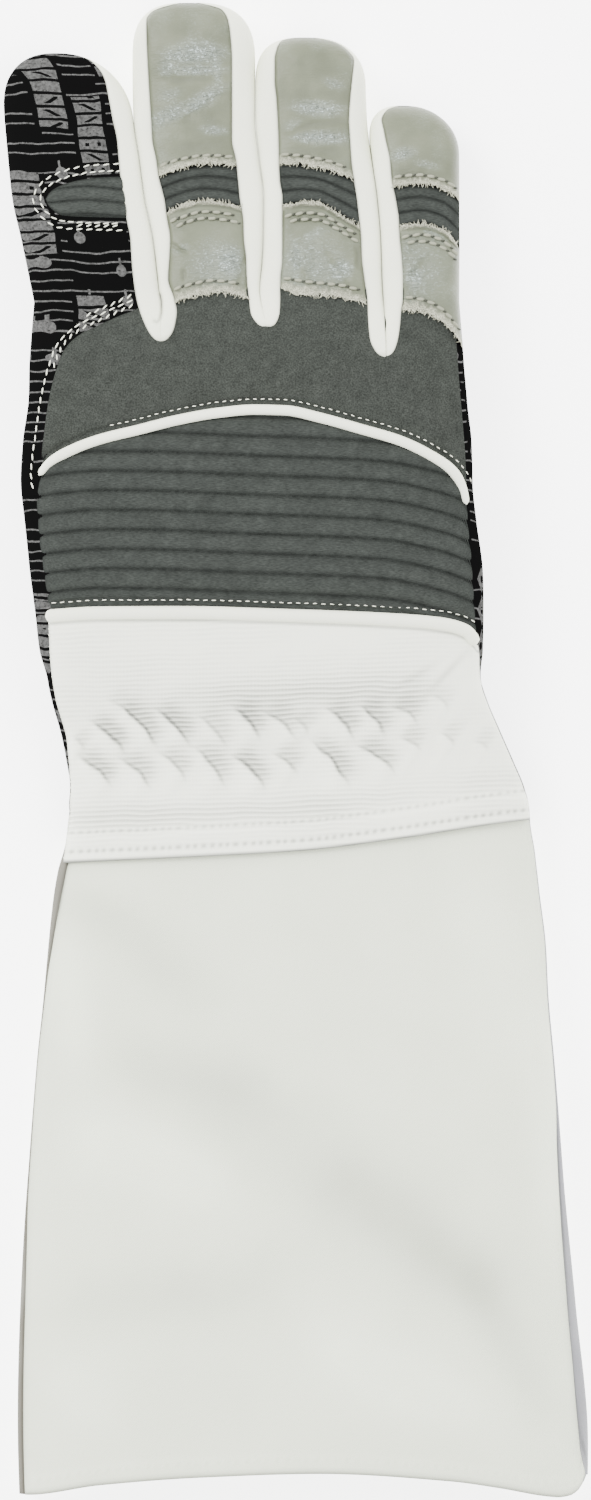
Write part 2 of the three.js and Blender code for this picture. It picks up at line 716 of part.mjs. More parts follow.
// Tips, ribbed strips and bands of the three outer fingers
function crossSeam(i, seam) {
  const finger = FINGERS[i];
  const [a, b, c] = CROSS_SEAMS[finger.name];
  const at = (across) => {
    const la = ((across - b.across) * (across - c.across)) / ((a.across - b.across) * (a.across - c.across));
    const lb = ((across - a.across) * (across - c.across)) / ((b.across - a.across) * (b.across - c.across));
    const lc = ((across - a.across) * (across - b.across)) / ((c.across - a.across) * (c.across - b.across));
    return la * a[seam] + lb * b[seam] + lc * c[seam];
  };
  const points = [];
  for (let k = 0; k <= SEAM_STEPS; k += 1) {
    const across = (1 + OVERRUN / 2) * ((2 * k) / SEAM_STEPS - 1);
    const y = CROTCH_Y + at(Math.max(-1, Math.min(1, across))) * finger.length;
    const left = fingerLine(i, y);
    const right = fingerLine(i + 1, y);
    points.push([(left + right) / 2 + (across * (right - left)) / 2, y]);
  }
  return points;
}

// A cutter with a V section that runs along points on the back
function groove(points, depth, width, height) {
  const over = 2 * depth;
  return loft(
    points.map(([x, y]) => {
      const z = height(x, y);
      return [
        [x, y - width / 2, z + depth / 4],
        [x, y, z - depth],
        [x, y + width / 2, z + depth / 4],
        [x, y, z + over],
      ];
    }),
  );
}

function fingerBackHeight(i, x, y) {
  const f = fingerAt(i, y);
  const across = Math.min(1, Math.abs(x - f.centre) / f.half);
  const rise = (1 - across ** FINGER_SQUARENESS) ** (1 / FINGER_SQUARENESS);
  return edgeHeight(y) + (FINGER_THICKNESS / 2) * f.scale * rise;
}

const FINGER_RIBS = 3;
function ribbedStrip(i, solid, low, high) {
  let ribbed = solid;
  for (let k = 1; k < FINGER_RIBS; k += 1) {
    const share = k / FINGER_RIBS;
    const line = low.map(([x, y], j) => [x + (high[j][0] - x) * share, y + (high[j][1] - y) * share]);
    const height = (x, y) => fingerBackHeight(i, x, y);
    ribbed = ribbed.subtract(groove(line, FINGER_GROOVE_DEPTH, FINGER_GROOVE_WIDTH, height));
  }
  return largest(ribbed);
}

for (const i of [1, 2, 3]) {
  const finger = FINGERS[i];
  const tipSeam = crossSeam(i, "tip");
  const ribSeam = crossSeam(i, "ribs");
  const bandSeam = crossSeam(i, "band");
  const beyond = CROTCH_Y + finger.length * (1 + OVERRUN);
  addPiece(
    `${finger.name}_tip`,
    cutPanel([...tipSeam, [tipSeam.at(-1)[0], beyond], [tipSeam[0][0], beyond]]),
    "leather",
  );
  addPiece(
    `${finger.name}_ribs`,
    ribbedStrip(i, cutPanel([...ribSeam, ...tipSeam.slice().reverse()]), ribSeam, tipSeam),
    "ribbed",
  );
  addPiece(`${finger.name}_band`, cutPanel([...bandSeam, ...ribSeam.slice().reverse()]), "leather");
}

// Ribbed inset on the index knuckle, whose right end meets the fourchette
function insetLine(edge) {
  return INSET_EDGE.map((row) => {
    const y = CROTCH_Y + row[edge] * INDEX_LENGTH;
    const f = fingerAt(0, y);
    return [f.centre + row.across * f.half, y];
  });
}
const insetLow = insetLine("low");
const insetHigh = insetLine("high");
addPiece(
  "index_knuckle_inset",
  ribbedStrip(0, cutPanel([...insetLow, ...insetHigh.slice().reverse()]), insetLow, insetHigh),
  "ribbed",
);

// Pipings: round cords that stand proud of the seams
function pipingLine(table, steps, reach) {
  const points = [];
  for (let k = 0; k <= steps; k += 1) {
    const across = reach[0] + ((reach[1] - reach[0]) * k) / steps;
    points.push(onHand(across, readTable(table, "across", (row) => row.along, across)));
  }
  return points;
}
function strip(line, width) {
  const side = (way) =>
    line.map(([x, y], k) => {
      const [ax, ay] = line[Math.max(0, k - 1)];
      const [bx, by] = line[Math.min(line.length - 1, k + 1)];
      const shift = (way * width) / 2 / Math.hypot(bx - ax, by - ay);
      return [x - shift * (by - ay), y + shift * (bx - ax)];
    });
  return [...side(-1), ...side(1).reverse()];
}
function piping(line) {
  const radius = PIPING_DIAMETER / 2;
  const middle = ([x, y]) => new THREE.Vector3(x, y, backHeight(x, y) - PIPING_SINK * radius);
  const path = new THREE.CatmullRomCurve3(line.map(middle));
  const shape = new THREE.Shape();
  shape.absarc(0, 0, radius, 0, 2 * Math.PI);
  const geometry = new THREE.ExtrudeGeometry(shape, {
    steps: PIPING_STEPS,
    curveSegments: PIPING_SIDES / 2,
    bevelEnabled: false,
    extrudePath: path,
  });
  return solidOf(geometry);
}

// Where the side seams run, as a share of the sleeve's half width
const sideSeam = (y, side) => {
  let along = 1 + (y - PIPING_Y) / HAND_LENGTH;
  if (y < PIPING_Y) along = (y - HEM_Y) / WRIST_LENGTH;
  if (y < HEM_Y) along = (y - HEM_Y) / CUFF_LENGTH;
  return readTable(SIDE_SEAMS, "along", (row) => row[side], along);
};

// The slot that a piping lies in is a little longer and wider than its cord, whose few faces bulge at the bends
const PIPING_SLOT = (PIPING_DIAMETER + 2 * SEAM_GAP) * 1.12;
const PIPING_ENDS = [
  { name: "arch_piping", table: ARCH, left: -0.915, right: 0.95 },
  { name: "wrist_piping", table: WRIST_PIPING, left: -0.915, right: 0.94 },
];
const PIPING_END_ROOM = 0.011;
for (const { name, table, left, right } of PIPING_ENDS) {
  const slotLine = pipingLine(table, LINE_STEPS, [left - PIPING_END_ROOM, right + PIPING_END_ROOM]);
  shell.rest = shell.rest.subtract(prism(strip(slotLine, PIPING_SLOT)).intersect(back));
  addPiece(name, piping(pipingLine(table, LINE_STEPS, [left, right])), "white");
}

function seamPoint(which, y) {
  const s = sleeveAt(y);
  return [s.centre + s.half * sideSeam(y, which), y];
}

// The part of a line that lies between the two side seams
function trimmed(line) {
  const inside = ([x, y]) => x > seamPoint("left", y)[0] && x < seamPoint("right", y)[0];
  return line.flatMap((p, k) => {
    const kept = inside(p) ? [p] : [];
    const q = line[k + 1];
    if (!q || inside(p) === inside(q)) return kept;
    let [near, far] = inside(p) ? [p, q] : [q, p];
    for (let n = 0; n < HALVING_STEPS; n += 1) {
      const half = [(near[0] + far[0]) / 2, (near[1] + far[1]) / 2];
      if (inside(half)) near = half;
      else far = half;
    }
    return [...kept, near];
  });
}

// The outline of a panel of the back that reaches from seam to seam
function panelOutline(lowLine, highLine) {
  const low = trimmed(lowLine);
  const high = trimmed(highLine);
  const side = (which, from, to) => {
    const points = [];
    for (let k = 1; k < 4; k += 1) points.push(seamPoint(which, from + ((to - from) * k) / 4));
    return points;
  };
  return [
    ...low,
    ...side("right", low.at(-1)[1], high.at(-1)[1]),
    ...high.toReversed(),
    ...side("left", high.at(0)[1], low.at(0)[1]),
  ];
}

const FULL = [-1.05, 1.05];
const archLine = pipingLine(ARCH, LINE_STEPS, FULL);
const wristLine = pipingLine(WRIST_PIPING, LINE_STEPS, FULL);
const hemLine = [-1.2, -0.6, 0, 0.6, 1.2].map((across) => [
  (across * CUFF_TOP_WIDTH) / 2,
  HEM_Y + (across * HEM_SLANT) / 2,
]);

const seamPoints = INDEX_SEAM.map((row) => onHand(row.across, row.along));
const beyondCrotch = CROTCH_Y + OVERRUN * HAND_LENGTH;
const backTop = [...seamPoints, [seamPoints.at(-1)[0], beyondCrotch], [onHand(FULL[1], 1)[0], beyondCrotch]];
addPiece("back_panel", cutPanel(panelOutline(archLine, backTop)), "grey");

// Grooves between the ribs of the ribbed panel, which sag towards the little finger's side
let ribbedPanel = cutPanel(panelOutline(wristLine, archLine));
for (let y = RIB_PITCH; y < 0.75 * HAND_LENGTH; y += RIB_PITCH) {
  const line = [];
  for (const across of [-1, -0.82, -0.5, 0, 0.5, 0.82, 1]) {
    const sag = readTable(RIB_SAG, "across", (row) => row.sag, across);
    line.push(onHand(across, y / HAND_LENGTH - sag));
  }
  ribbedPanel = ribbedPanel.subtract(groove(line, RIB_GROOVE_DEPTH, RIB_GROOVE_WIDTH, backHeight));
}
addPiece("ribbed_panel", largest(ribbedPanel), "ribbed");

// Slanted puckers in the wrist band
let wristBand = cutPanel(panelOutline(hemLine, wristLine));
const slant = THREE.MathUtils.degToRad(PUCKER_ANGLE);
for (const row of PUCKER_ROWS) {
  for (let n = 0; n < row.count; n += 1) {
    const x = row.across * PALM_WIDTH + n * PUCKER_PITCH;
    const y = HEM_Y + (row.along + n * row.rise) * WRIST_LENGTH;
    const line = [-0.5, 0, 0.5].map((t) => [
      x + t * PUCKER_LENGTH * Math.cos(slant),
      y + t * PUCKER_LENGTH * Math.sin(slant),
    ]);
    const dip = (px, py) => {
      const t = Math.hypot(px - x, py - y) / PUCKER_LENGTH;
      return backHeight(px, py) + PUCKER_DEPTH * (2 * t) ** 2;
    };
    wristBand = wristBand.subtract(groove(line, PUCKER_DEPTH, PUCKER_WIDTH, dip));
  }
}
addPiece("wrist_band", largest(wristBand), "knit");

// The cuff's mouth is hollowed out in plan, and its corners are rounded
const mouth = MOUTH_EDGE.map((row) => [
  (row.across * CUFF_MOUTH_WIDTH) / 2 + CUFF_SECTIONS[0].centre * PALM_WIDTH,
  row.rise * CUFF_EDGE_RISE,
]);
const before = -2 * OVERRUN * CUFF_LENGTH;
shell.rest = shell.rest.subtract(prism([...mouth, [mouth.at(-1)[0], before], [mouth[0][0], before]]));
const cuffLow = [-1.2, 0, 1.2].map((across) => [(across * CUFF_MOUTH_WIDTH) / 2, before / 2]);
addPiece("cuff_back", cutPanel(panelOutline(cuffLow, hemLine)), "white");
addPiece("cuff_underside", cutPanel([...cuffLow, ...hemLine.slice().reverse()], null), "white");
for (const { name, solid } of fourchettes) addPiece(name, solid, "white");

// The thumb: a flat pouch that lies under the palm and opens upwards into it
const thumbWay = THREE.MathUtils.degToRad(THUMB_ANGLE);
const thumbAcross = [-Math.sin(thumbWay), Math.cos(thumbWay)];
const mouthCentre = [
  THUMB_ROOT.across * PALM_WIDTH,
  PIPING_Y + THUMB_ROOT.along * HAND_LENGTH,
];
const thumbStart = [
  mouthCentre[0] - THUMB_MOUTH_AT * THUMB_LENGTH * Math.cos(thumbWay),
  mouthCentre[1] - THUMB_MOUTH_AT * THUMB_LENGTH * Math.sin(thumbWay),
];
function thumbPoint(along, across) {
  return [
    thumbStart[0] + along * Math.cos(thumbWay) + across * thumbAcross[0],
    thumbStart[1] + along * Math.sin(thumbWay) + across * thumbAcross[1],
  ];
}
function thumbSolid(cloth, sides) {
  const rings = THUMB_SECTIONS.filter((row) => row.height * THUMB_THICKNESS > 2.5 * cloth).map((row) => {
    const half = (row.width * THUMB_WIDTH) / 2 - cloth;
    const tall = (row.height * THUMB_THICKNESS) / 2;
    const along = row.along * (THUMB_LENGTH - 2 * cloth) + cloth;
    const rise = tall - cloth;
    const flat = sectionRing(sides, 0, 0, half, tall, rise, rise, THUMB_TOP_SQUARENESS, THUMB_UNDER_SQUARENESS);
    return flat.map(([x, , z]) => [...thumbPoint(along, -x), z]);
  });
  return loft(rings);
}
const mouthOutline = [];
for (let turn = 0; turn < 360; turn += ROUND_STEP) {
  const a = THREE.MathUtils.degToRad(turn);
  mouthOutline.push(
    thumbPoint(
      THUMB_MOUTH_AT * THUMB_LENGTH + (THUMB_MOUTH_LENGTH / 2) * Math.cos(a),
      (THUMB_MOUTH_WIDTH / 2) * Math.sin(a),
    ),
  );
}
const thumbMouth = prism(mouthOutline, THUMB_THICKNESS / 2, sleeveAt(mouthCentre[1]).edge);
addPiece(
  "thumb",
  thumbSolid(0, THUMB_SIDES).subtract(thumbSolid(CLOTH, THUMB_SIDES - 4)).subtract(thumbMouth),
  "black",
);

// The black cloth in its parts: under the wrist, under the hand, round the index finger and under the others
const blackCloth = shell.rest.subtract(thumbMouth);
function between(low, high) {
  const a = low + SEAM_GAP / 2;
  const b = high - SEAM_GAP / 2;
  return blackCloth.intersect(
    prism([
      [-PALM_WIDTH, a],
      [PALM_WIDTH, a],
      [PALM_WIDTH, b],
      [-PALM_WIDTH, b],
    ]),
  );
}
const partingY = CROTCH_Y - FINGER_PARTING;
addPiece("palm_wrist", largest(between(0, PIPING_Y)), "black");
addPiece("palm", largest(between(PIPING_Y, partingY)), "black");
const fingerCloths = between(partingY, TIP_Y * (1 + OVERRUN)).decompose();
FINGERS.forEach((finger, i) => {
  const x = fingerAt(i, CROTCH_Y + finger.length / 2).centre;
  const cloth = fingerCloths.find((solid) => {
    const { min, max } = solid.boundingBox();
    return min[0] < x && x < max[0] && max[1] > CROTCH_Y + finger.length / 2;
  });
  addPiece(i === 0 ? "index_finger" : `${finger.name}_underside`, cloth, "black");
});

// The origin comes under the middle of the outline, on the resting surface
const box = new THREE.Box3().setFromObject(group);
const middle = box.getCenter(new THREE.Vector3());
for (const piece of group.children) piece.geometry.translate(-middle.x, -middle.y, -box.min.z);

export default group;
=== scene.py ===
import bpy
import numpy as np
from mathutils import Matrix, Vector


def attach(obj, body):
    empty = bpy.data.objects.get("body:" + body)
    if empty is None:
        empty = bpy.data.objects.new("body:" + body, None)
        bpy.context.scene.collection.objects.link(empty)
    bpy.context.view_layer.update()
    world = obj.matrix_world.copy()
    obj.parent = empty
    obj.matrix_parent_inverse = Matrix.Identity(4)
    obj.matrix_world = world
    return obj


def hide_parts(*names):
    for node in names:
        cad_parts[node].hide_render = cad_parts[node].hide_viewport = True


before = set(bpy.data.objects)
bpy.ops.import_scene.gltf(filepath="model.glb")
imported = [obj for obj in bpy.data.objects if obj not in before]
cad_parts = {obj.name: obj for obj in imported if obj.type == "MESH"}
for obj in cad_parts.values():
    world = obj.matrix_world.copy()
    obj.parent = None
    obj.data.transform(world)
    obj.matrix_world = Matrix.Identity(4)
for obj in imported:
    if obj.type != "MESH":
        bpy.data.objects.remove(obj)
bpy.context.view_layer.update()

# Lengths below are millimetres from the middle of the cuff's mouth, where the frame's origin is at ORIGIN
ORIGIN = np.array([-0.94, 195.75, 0.0])
MM = 0.001
# Distances from the mouth: where the fingers part, where they are free, and the top hem of the cuff
CROTCH = 313.0
FREE = CROTCH + 3
HEM = 170.0
# Share of the full number of grid steps
DETAIL = 1.0
# Thickness of the cuff's cloth
CLOTH = 1.6


def curve(rows):
    """A shape-preserving cubic through (x, y) rows in rising x."""
    xs, ys = (np.array(c, float) for c in zip(*rows))
    h = np.diff(xs)
    d = np.diff(ys) / h
    m = np.zeros_like(ys)
    m[0], m[-1] = d[0], d[-1]
    w1, w2 = 2 * h[1:] + h[:-1], h[1:] + 2 * h[:-1]
    rising = d[:-1] * d[1:] > 0
    safe = [np.where(rising, part, 1) for part in (d[:-1], d[1:])]
    m[1:-1] = np.where(rising, (w1 + w2) / (w1 / safe[0] + w2 / safe[1]), 0)

    def read(x):
        x = np.clip(x, xs[0], xs[-1])
        i = np.clip(np.searchsorted(xs, x) - 1, 0, len(h) - 1)
        t = (x - xs[i]) / h[i]
        return (
            ys[i] * (2 * t**3 - 3 * t**2 + 1)
            + ys[i + 1] * (3 * t**2 - 2 * t**3)
            + h[i] * (m[i] * (t**3 - 2 * t**2 + t) + m[i + 1] * (t**3 - t**2))
        )

    return read


# The sleeve: distance from the mouth, middle, half width, and heights of underside, outline and back
SLEEVE = [
    (-10.2, 1, 74.2, 0, 7.8, 26),
    (15.3, 0.8, 74.8, 0, 7.8, 26),
    (51, -0.5, 72.8, 0, 8.1, 25.5),
    (83.3, -1.1, 70.3, 0, 8.3, 24.7),
    (113.9, -1.1, 67.9, 0, 8.8, 23.7),
    (130, -1, 66.3, 0, 9.1, 23.1),
    (146.2, -0.7, 65.1, 0, 9.4, 22.6),
    (156.4, -0.8, 63.9, 0, 9.4, 22.3),
    (164.2, -0.6, 62.8, 0, 9.3, 22.1),
    (170, -0.1, 61.6, 0, 9.2, 22),
    (177.3, 0, 60.4, 0.2, 9.5, 21.8),
    (181.4, -0.25, 60.3, 0.6, 10, 21.9),
    (185.3, -0.6, 59.6, 1.1, 10.6, 22),
    (193.2, -2.75, 58.5, 3, 12.6, 23.4),
    (200.5, -5.1, 57.6, 5.7, 15.6, 25.9),
    (208.4, -7.9, 57, 8.4, 18.5, 29),
    (213.9, -9.3, 56.7, 10, 20.1, 31.1),
    (221.8, -10.1, 58, 11.4, 21.6, 33.2),
    (231, -10.55, 58.6, 12.3, 22.4, 34.3),
    (244.9, -11.6, 59.3, 12.3, 22.4, 34.3),
    (255.6, -12.9, 59.1, 12.3, 22.4, 34.3),
    (266.3, -13.9, 59.1, 12.3, 22.4, 34.3),
    (276.1, -13.75, 58.7, 12.3, 22.4, 34.3),
    (286.8, -13.6, 57.4, 12.2, 22.3, 34.2),
    (297.4, -13.9, 56.8, 11.6, 21.7, 33.3),
    (313, -13.9, 55.6, 9.8, 20, 30.7),
]
sleeve_middle, sleeve_half, sleeve_low, sleeve_edge, sleeve_back = (
    curve([(row[0], row[k]) for row in SLEEVE]) for k in range(1, 6)
)
# The lines between the fingers, and how far the fingers still have to come down
LINE_ROWS = [
    (313, -69.55, -36.7, -10.7, 21.7, 41.7, 1),
    (329.1, -72.9, -38.4, -9.6, 21.2, 41.8, 0.72),
    (339.8, -75.3, -40.6, -9.5, 20.3, 41.8, 0.46),
    (350.6, -76.5, -42.1, -10.7, 18.8, 41.8, 0.23),
    (361.4, -77.5, -43.6, -11.7, 17.6, 41.8, 0.08),
    (372.1, -78.4, -43.9, -11.7, 17.3, 41.8, 0),
    (400, -78.4, -43.9, -11.7, 17.3, 41.8, 0),
]
finger_lines = [curve([(row[0], row[k]) for row in LINE_ROWS]) for k in range(1, 6)]
finger_drop = curve([(row[0], row[6]) for row in LINE_ROWS])
# Fingers: tip, length of the rounded end, its pull to the side, and the squareness of its outline
FINGERS = {
    "index": (378.4, 19.2, -0.16, 2.3),
    "middle": (391.6, 15.6, -0.05, 2.8),
    "ring": (382.5, 13.6, -0.1, 2.6),
    "little": (364.6, 13.6, -0.22, 2.4),
}
NAMES = list(FINGERS)
# Half the height of a finger, half the gap between two fingers, and how square the sections are
FINGER_RISE = 9.0
GAP = 0.02
BACK_SQUARE = 2.8
UNDER_SQUARE = 3.4
FINGER_SQUARE = 3.3
# Cells on each side of the noise's table
NOISE_CELLS = 64


def arc(share, square):
    """Height of a rounded section, 1 in the middle and 0 at a share of 1."""
    return np.maximum(0, 1 - np.minimum(1, np.abs(share)) ** square) ** (1 / square)


def smooth(t):
    t = np.clip(t, 0, 1)
    return t * t * (3 - 2 * t)


def bell(distance, width):
    """1 at no distance, falling to 0 on both sides over about twice that width."""
    return np.exp(-((distance / width) ** 2))


def left_side(y):
    return sleeve_middle(y) - sleeve_half(y)


def right_side(y):
    return sleeve_middle(y) + sleeve_half(y)


def edge(y):
    """Height of the outline."""
    fingers = FINGER_RISE + (sleeve_edge(CROTCH) - FINGER_RISE) * finger_drop(y)
    return np.where(y < CROTCH, sleeve_edge(y), fingers)


def finger(i, y):
    """Middle, half width and tip scale of finger i."""
    a = left_side(y) if i == 0 else finger_lines[i](y) + GAP
    b = right_side(y) if i == 3 else finger_lines[i + 1](y) - GAP
    if i == 0:
        a = np.where(y < CROTCH, a, finger_lines[0](y))
    if i == 3:
        b = np.where(y < CROTCH, b, finger_lines[4](y))
    tip, dome, lean, square = FINGERS[NAMES[i]]
    into = np.clip((y - tip + dome) / dome, 0, 1)
    scale = (1 - into**square) ** (1 / square)
    half = (b - a) / 2
    return (a + b) / 2 + lean * half * into**2, half * scale, scale


def surface(x, y, way):
    """Height of the back, way 1, or of the underside, way -1."""
    back = way > 0
    share = (x - sleeve_middle(y)) / sleeve_half(y)
    reach = (sleeve_back(y) - sleeve_edge(y)) if back else (sleeve_edge(y) - sleeve_low(y))
    hand = reach * arc(share, BACK_SQUARE if back else UNDER_SQUARE)
    if not back:
        hand = np.minimum(hand * 1.03, reach)
    fingers = np.zeros_like(hand)
    for i in range(4):
        middle, half, scale = finger(i, y)
        rise = FINGER_RISE * scale * arc((x - middle) / np.maximum(half, 0.01), FINGER_SQUARE)
        fingers = np.maximum(fingers, rise)
    mix = smooth((y - CROTCH + 7) / 10)
    return edge(y) + way * (hand * (1 - mix) + fingers * mix)


def noise(x, y, size, seed):
    """Smooth noise from -1 to 1 with cells of that size."""
    table = np.random.default_rng(seed).uniform(-1, 1, (NOISE_CELLS, NOISE_CELLS))
    u, v = x / size, y / size
    i, j = np.floor(u).astype(int), np.floor(v).astype(int)
    s, t = smooth(u - i), smooth(v - j)
    corners = ((0, 0), (1, 0), (0, 1), (1, 1))
    a, b, c, d = (table[(i + p) % NOISE_CELLS, (j + q) % NOISE_CELLS] for p, q in corners)
    return (a * (1 - s) + b * s) * (1 - t) + (c * (1 - s) + d * s) * t


def octaves(x, y, size, seed, count=3):
    return sum(noise(x + 7 * k, y - 5 * k, size / 2**k, seed + k) / 2**k for k in range(count))


class Look:
    """A material built from nodes, with coordinates in millimetres."""

    def __init__(self, name, colour, roughness, specular):
        self.material = bpy.data.materials.new(name)
        self.material.use_nodes = True
        self.nodes = self.material.node_tree.nodes
        self.links = self.material.node_tree.links
        self.shader = self.nodes["Principled BSDF"].inputs
        self.shader["Base Color"].default_value = (*colour, 1)
        self.shader["Roughness"].default_value = roughness
        self.shader["Specular IOR Level"].default_value = specular
        self.place = self.stretched(self.node("TexCoord", (), "Object"), (1 / MM,) * 3)

    def put(self, socket, value):
        if isinstance(value, bpy.types.NodeSocket):
            self.links.new(value, socket)
        else:
            socket.default_value = value

    def node(self, kind, values, output=0, **settings):
        """One output of a new node. values holds its inputs, in order or by name."""
        node = self.nodes.new("ShaderNode" + kind)
        for key, value in settings.items():
            setattr(node, key, value)
        for key, value in values.items() if isinstance(values, dict) else enumerate(values):
            self.put(node.inputs[key], value)
        return node.outputs[output]

    def stretched(self, where, factors):
        return self.node("VectorMath", (where, factors), operation="MULTIPLY")

    def axes(self):
        parts = self.nodes.new("ShaderNodeSeparateXYZ")
        self.put(parts.inputs[0], self.place)
        return parts.outputs[0], parts.outputs[1], parts.outputs[2]

    def math(self, operation, a, b=0.0):
        return self.node("Math", (a, b), operation=operation)

    def times(self, a, b):
        return self.math("MULTIPLY", a, b)

    def plus(self, a, b):
        return self.math("ADD", a, b)

    def minus(self, a, b):
        return self.math("SUBTRACT", a, b)

    def apart(self, a, b):
        """How far two values are apart."""
        return self.math("ABSOLUTE", self.minus(a, b))

    def noise(self, per_mm, detail=2.0, stretch=None):
        where = self.stretched(self.place, stretch) if stretch else self.place
        return self.node("TexNoise", {"Vector": where, "Scale": per_mm, "Detail": detail}, "Fac")

    def cells(self, per_mm):
        return self.node("TexVoronoi", {"Vector": self.place, "Scale": per_mm}, "Distance")

    def chance(self, x, y, shift=0.0):
        spot = self.node("CombineXYZ", (self.plus(x, shift), y))
        return self.node("TexWhiteNoise", {"Vector": spot}, "Value", noise_dimensions="2D")

    def scale(self, value, low, high, to_low=0.0, to_high=1.0):
        return self.node("MapRange", (value, low, high, to_low, to_high))

    def mix(self, share, a, b):
        a, b = ((*value, 1) if isinstance(value, tuple) else value for value in (a, b))
        return self.node("Mix", {"Factor": share, 6: a, 7: b}, 2, data_type="RGBA")

    def attribute(self, name):
        return self.node("Attribute", (), "Fac", attribute_name=name)

    def colour(self, value):
        self.put(self.shader["Base Color"], value)

    def bump(self, *layers):
        """Layers of (height socket, depth in mm)."""
        values = {"Strength": 1.0}
        for height, depth in layers:
            values.update(Distance=depth * MM, Height=height)
            values["Normal"] = self.node("Bump", values, "Normal")
        self.put(self.shader["Normal"], values["Normal"])


# Pitch of the weave's threads, of the knit's rows and of its loops, and how far the rows fall to the right
WEAVE_PITCH = 2 * np.pi / 9
KNIT_PITCH, LOOP_PITCH, KNIT_SLOPE = 1.27, 0.9, -0.03


def white_look(name, colour, dark, other_dark=None):
    """White cloth. The shade attribute paints shade above 0 and a highlight below 0; fray picks the second
    painted shade tone.
    """
    look = Look(name, colour, 0.85, 0.1)
    warp, weft = (look.math("SINE", look.times(axis, 2 * np.pi / WEAVE_PITCH)) for axis in look.axes()[:2])
    patches = look.scale(look.noise(0.05, 2.0), 0.35, 0.65, 0.05, 0.1)
    share = look.plus(patches, look.attribute("shade"))
    if other_dark:
        dark = look.mix(look.attribute("fray"), dark, other_dark)
    look.colour(look.mix(share, colour, dark))
    look.bump((look.times(warp, weft), 0.02), (look.noise(1.1, 3.0), 0.1))
    return look.material


def knit_look():
    """Knit. The shade attribute paints shade above 0 and a highlight below 0, and fray deepens its rows where
    it is taut, as bumps and as painted shade in their troughs.
    """
    light, dark = (0.97, 0.99, 0.86), (0.17, 0.175, 0.16)
    look = Look("knit", light, 0.88, 0.1)
    x, y = look.axes()[:2]
    wobble = look.times(look.noise(0.08, 1.5), 1.5)
    height = look.plus(look.plus(y, wobble), look.times(x, KNIT_SLOPE))
    ribs = look.math("SINE", look.times(height, 2 * np.pi / KNIT_PITCH))
    patchy = look.scale(look.noise(0.07, 3.0, (0.5, 1.4, 1.0)), 0.4, 0.7, 0.02, 0.3)
    strength = look.plus(patchy, look.attribute("fray"))
    # Painted shade in the troughs between the rows
    lines = look.times(look.scale(ribs, 1.0, -1.0, 0.0, 0.42), strength)
    loops = look.math("SINE", look.times(x, 2 * np.pi / LOOP_PITCH))
    share = look.plus(look.plus(lines, look.attribute("shade")), 0.14)
    look.colour(look.mix(share, light, dark))
    look.bump((look.times(ribs, strength), 0.22), (loops, 0.02), (look.noise(1.3, 2.0), 0.06))
    return look.material


def grey_look(name, colour, rows=None):
    """Napped dark cloth. rows stretches its grain, so that fine rows run across the ribs."""
    look = Look(name, colour, 1.0, 0.0)
    fuzz = look.noise(2.6, 4.0, rows)
    low, high = (0.7, 1.35) if rows else (0.55, 1.5)
    grain = look.scale(fuzz, 0.28, 0.72, low, high)
    soft = look.scale(look.noise(0.3, 4.0), 0.3, 0.7, 0.88, 1.14)
    # Painted shade: the shade attribute darkens the nap, down to a fifth of its colour.
    deep = look.scale(look.attribute("shade"), 0.0, 1.0, 1.0, 0.2)
    share = look.times(look.times(look.times(grain, soft), deep), 0.5)
    look.colour(look.mix(share, (0.0, 0.0, 0.0), tuple(2 * c for c in colour)))
    look.bump((fuzz, 0.1), (look.noise(0.8, 3.0), 0.1))
    return look.material


def leather_look():
    """Leather. fray turns it to suede. The shade attribute paints pearl-like highlights above 0 and shade
    below 0.
    """
    plain, pale = (0.086, 0.095, 0.061), (0.118, 0.129, 0.087)
    look = Look("leather", plain, 0.45, 0.28)
    fray, wear_and_painted_light = look.attribute("fray"), look.attribute("shade")
    glint = look.scale(wear_and_painted_light, 0.0, 1.0)
    tone = look.mix(look.scale(look.noise(0.11, 4.0), 0.35, 0.7), plain, pale)
    ridges = look.apart(look.noise(0.75, 3.0, (0.6, 1.5, 1.0)), 0.5)
    cross = look.apart(look.noise(1.5, 2.0, (1.2, 0.8, 1.0)), 0.5)
    # Painted shade: dark lines along the wrinkles where the highlight is, and in the folds where shade is
    # below 0.
    dark_lines = look.times(look.scale(cross, 0.0, 0.03, 0.7, 0.0), glint)
    dark_lines = look.plus(dark_lines, look.scale(wear_and_painted_light, 0.0, -1.0))
    tone = look.mix(dark_lines, tone, (0.05, 0.053, 0.042))
    # Painted pearl-like highlight: broken bright streaks along the wrinkles.
    broken = look.scale(look.noise(1.6, 2.0), 0.42, 0.6)
    streaks = look.times(look.scale(ridges, 0.0, 0.045, 1.0, 0.0), broken)
    tone = look.mix(look.times(look.plus(streaks, 0.26), glint), tone, (0.46, 0.53, 0.515))
    fuzz = look.noise(3.4, 3.0)
    suede = look.mix(look.scale(fuzz, 0.35, 0.65), (0.14, 0.14, 0.105), (0.48, 0.48, 0.37))
    look.colour(look.mix(fray, tone, suede))
    look.put(look.shader["Roughness"], look.scale(fray, 0.0, 1.0, 0.45, 1.0))
    wrinkle = look.times(look.scale(ridges, 0.0, 0.12, 1.0, 0.0), look.plus(glint, 0.08))
    look.bump((look.cells(2.4), 0.02), (wrinkle, 0.35), (look.times(fuzz, fray), 0.3))
    return look.material


# Sizes of the print on the black cloth: widths of its columns, and heights of what they hold
COLUMN, SEGMENT, BLOCK, LARGE, LINE, STRIP = 9.6, 22.0, 3.3, 8.4, 2.6, 17.0
# Shares of the columns' parts: blocks below the first, lines up to the second, and large marks above it
BLOCKS_END, LINES_END = 0.36, 0.84


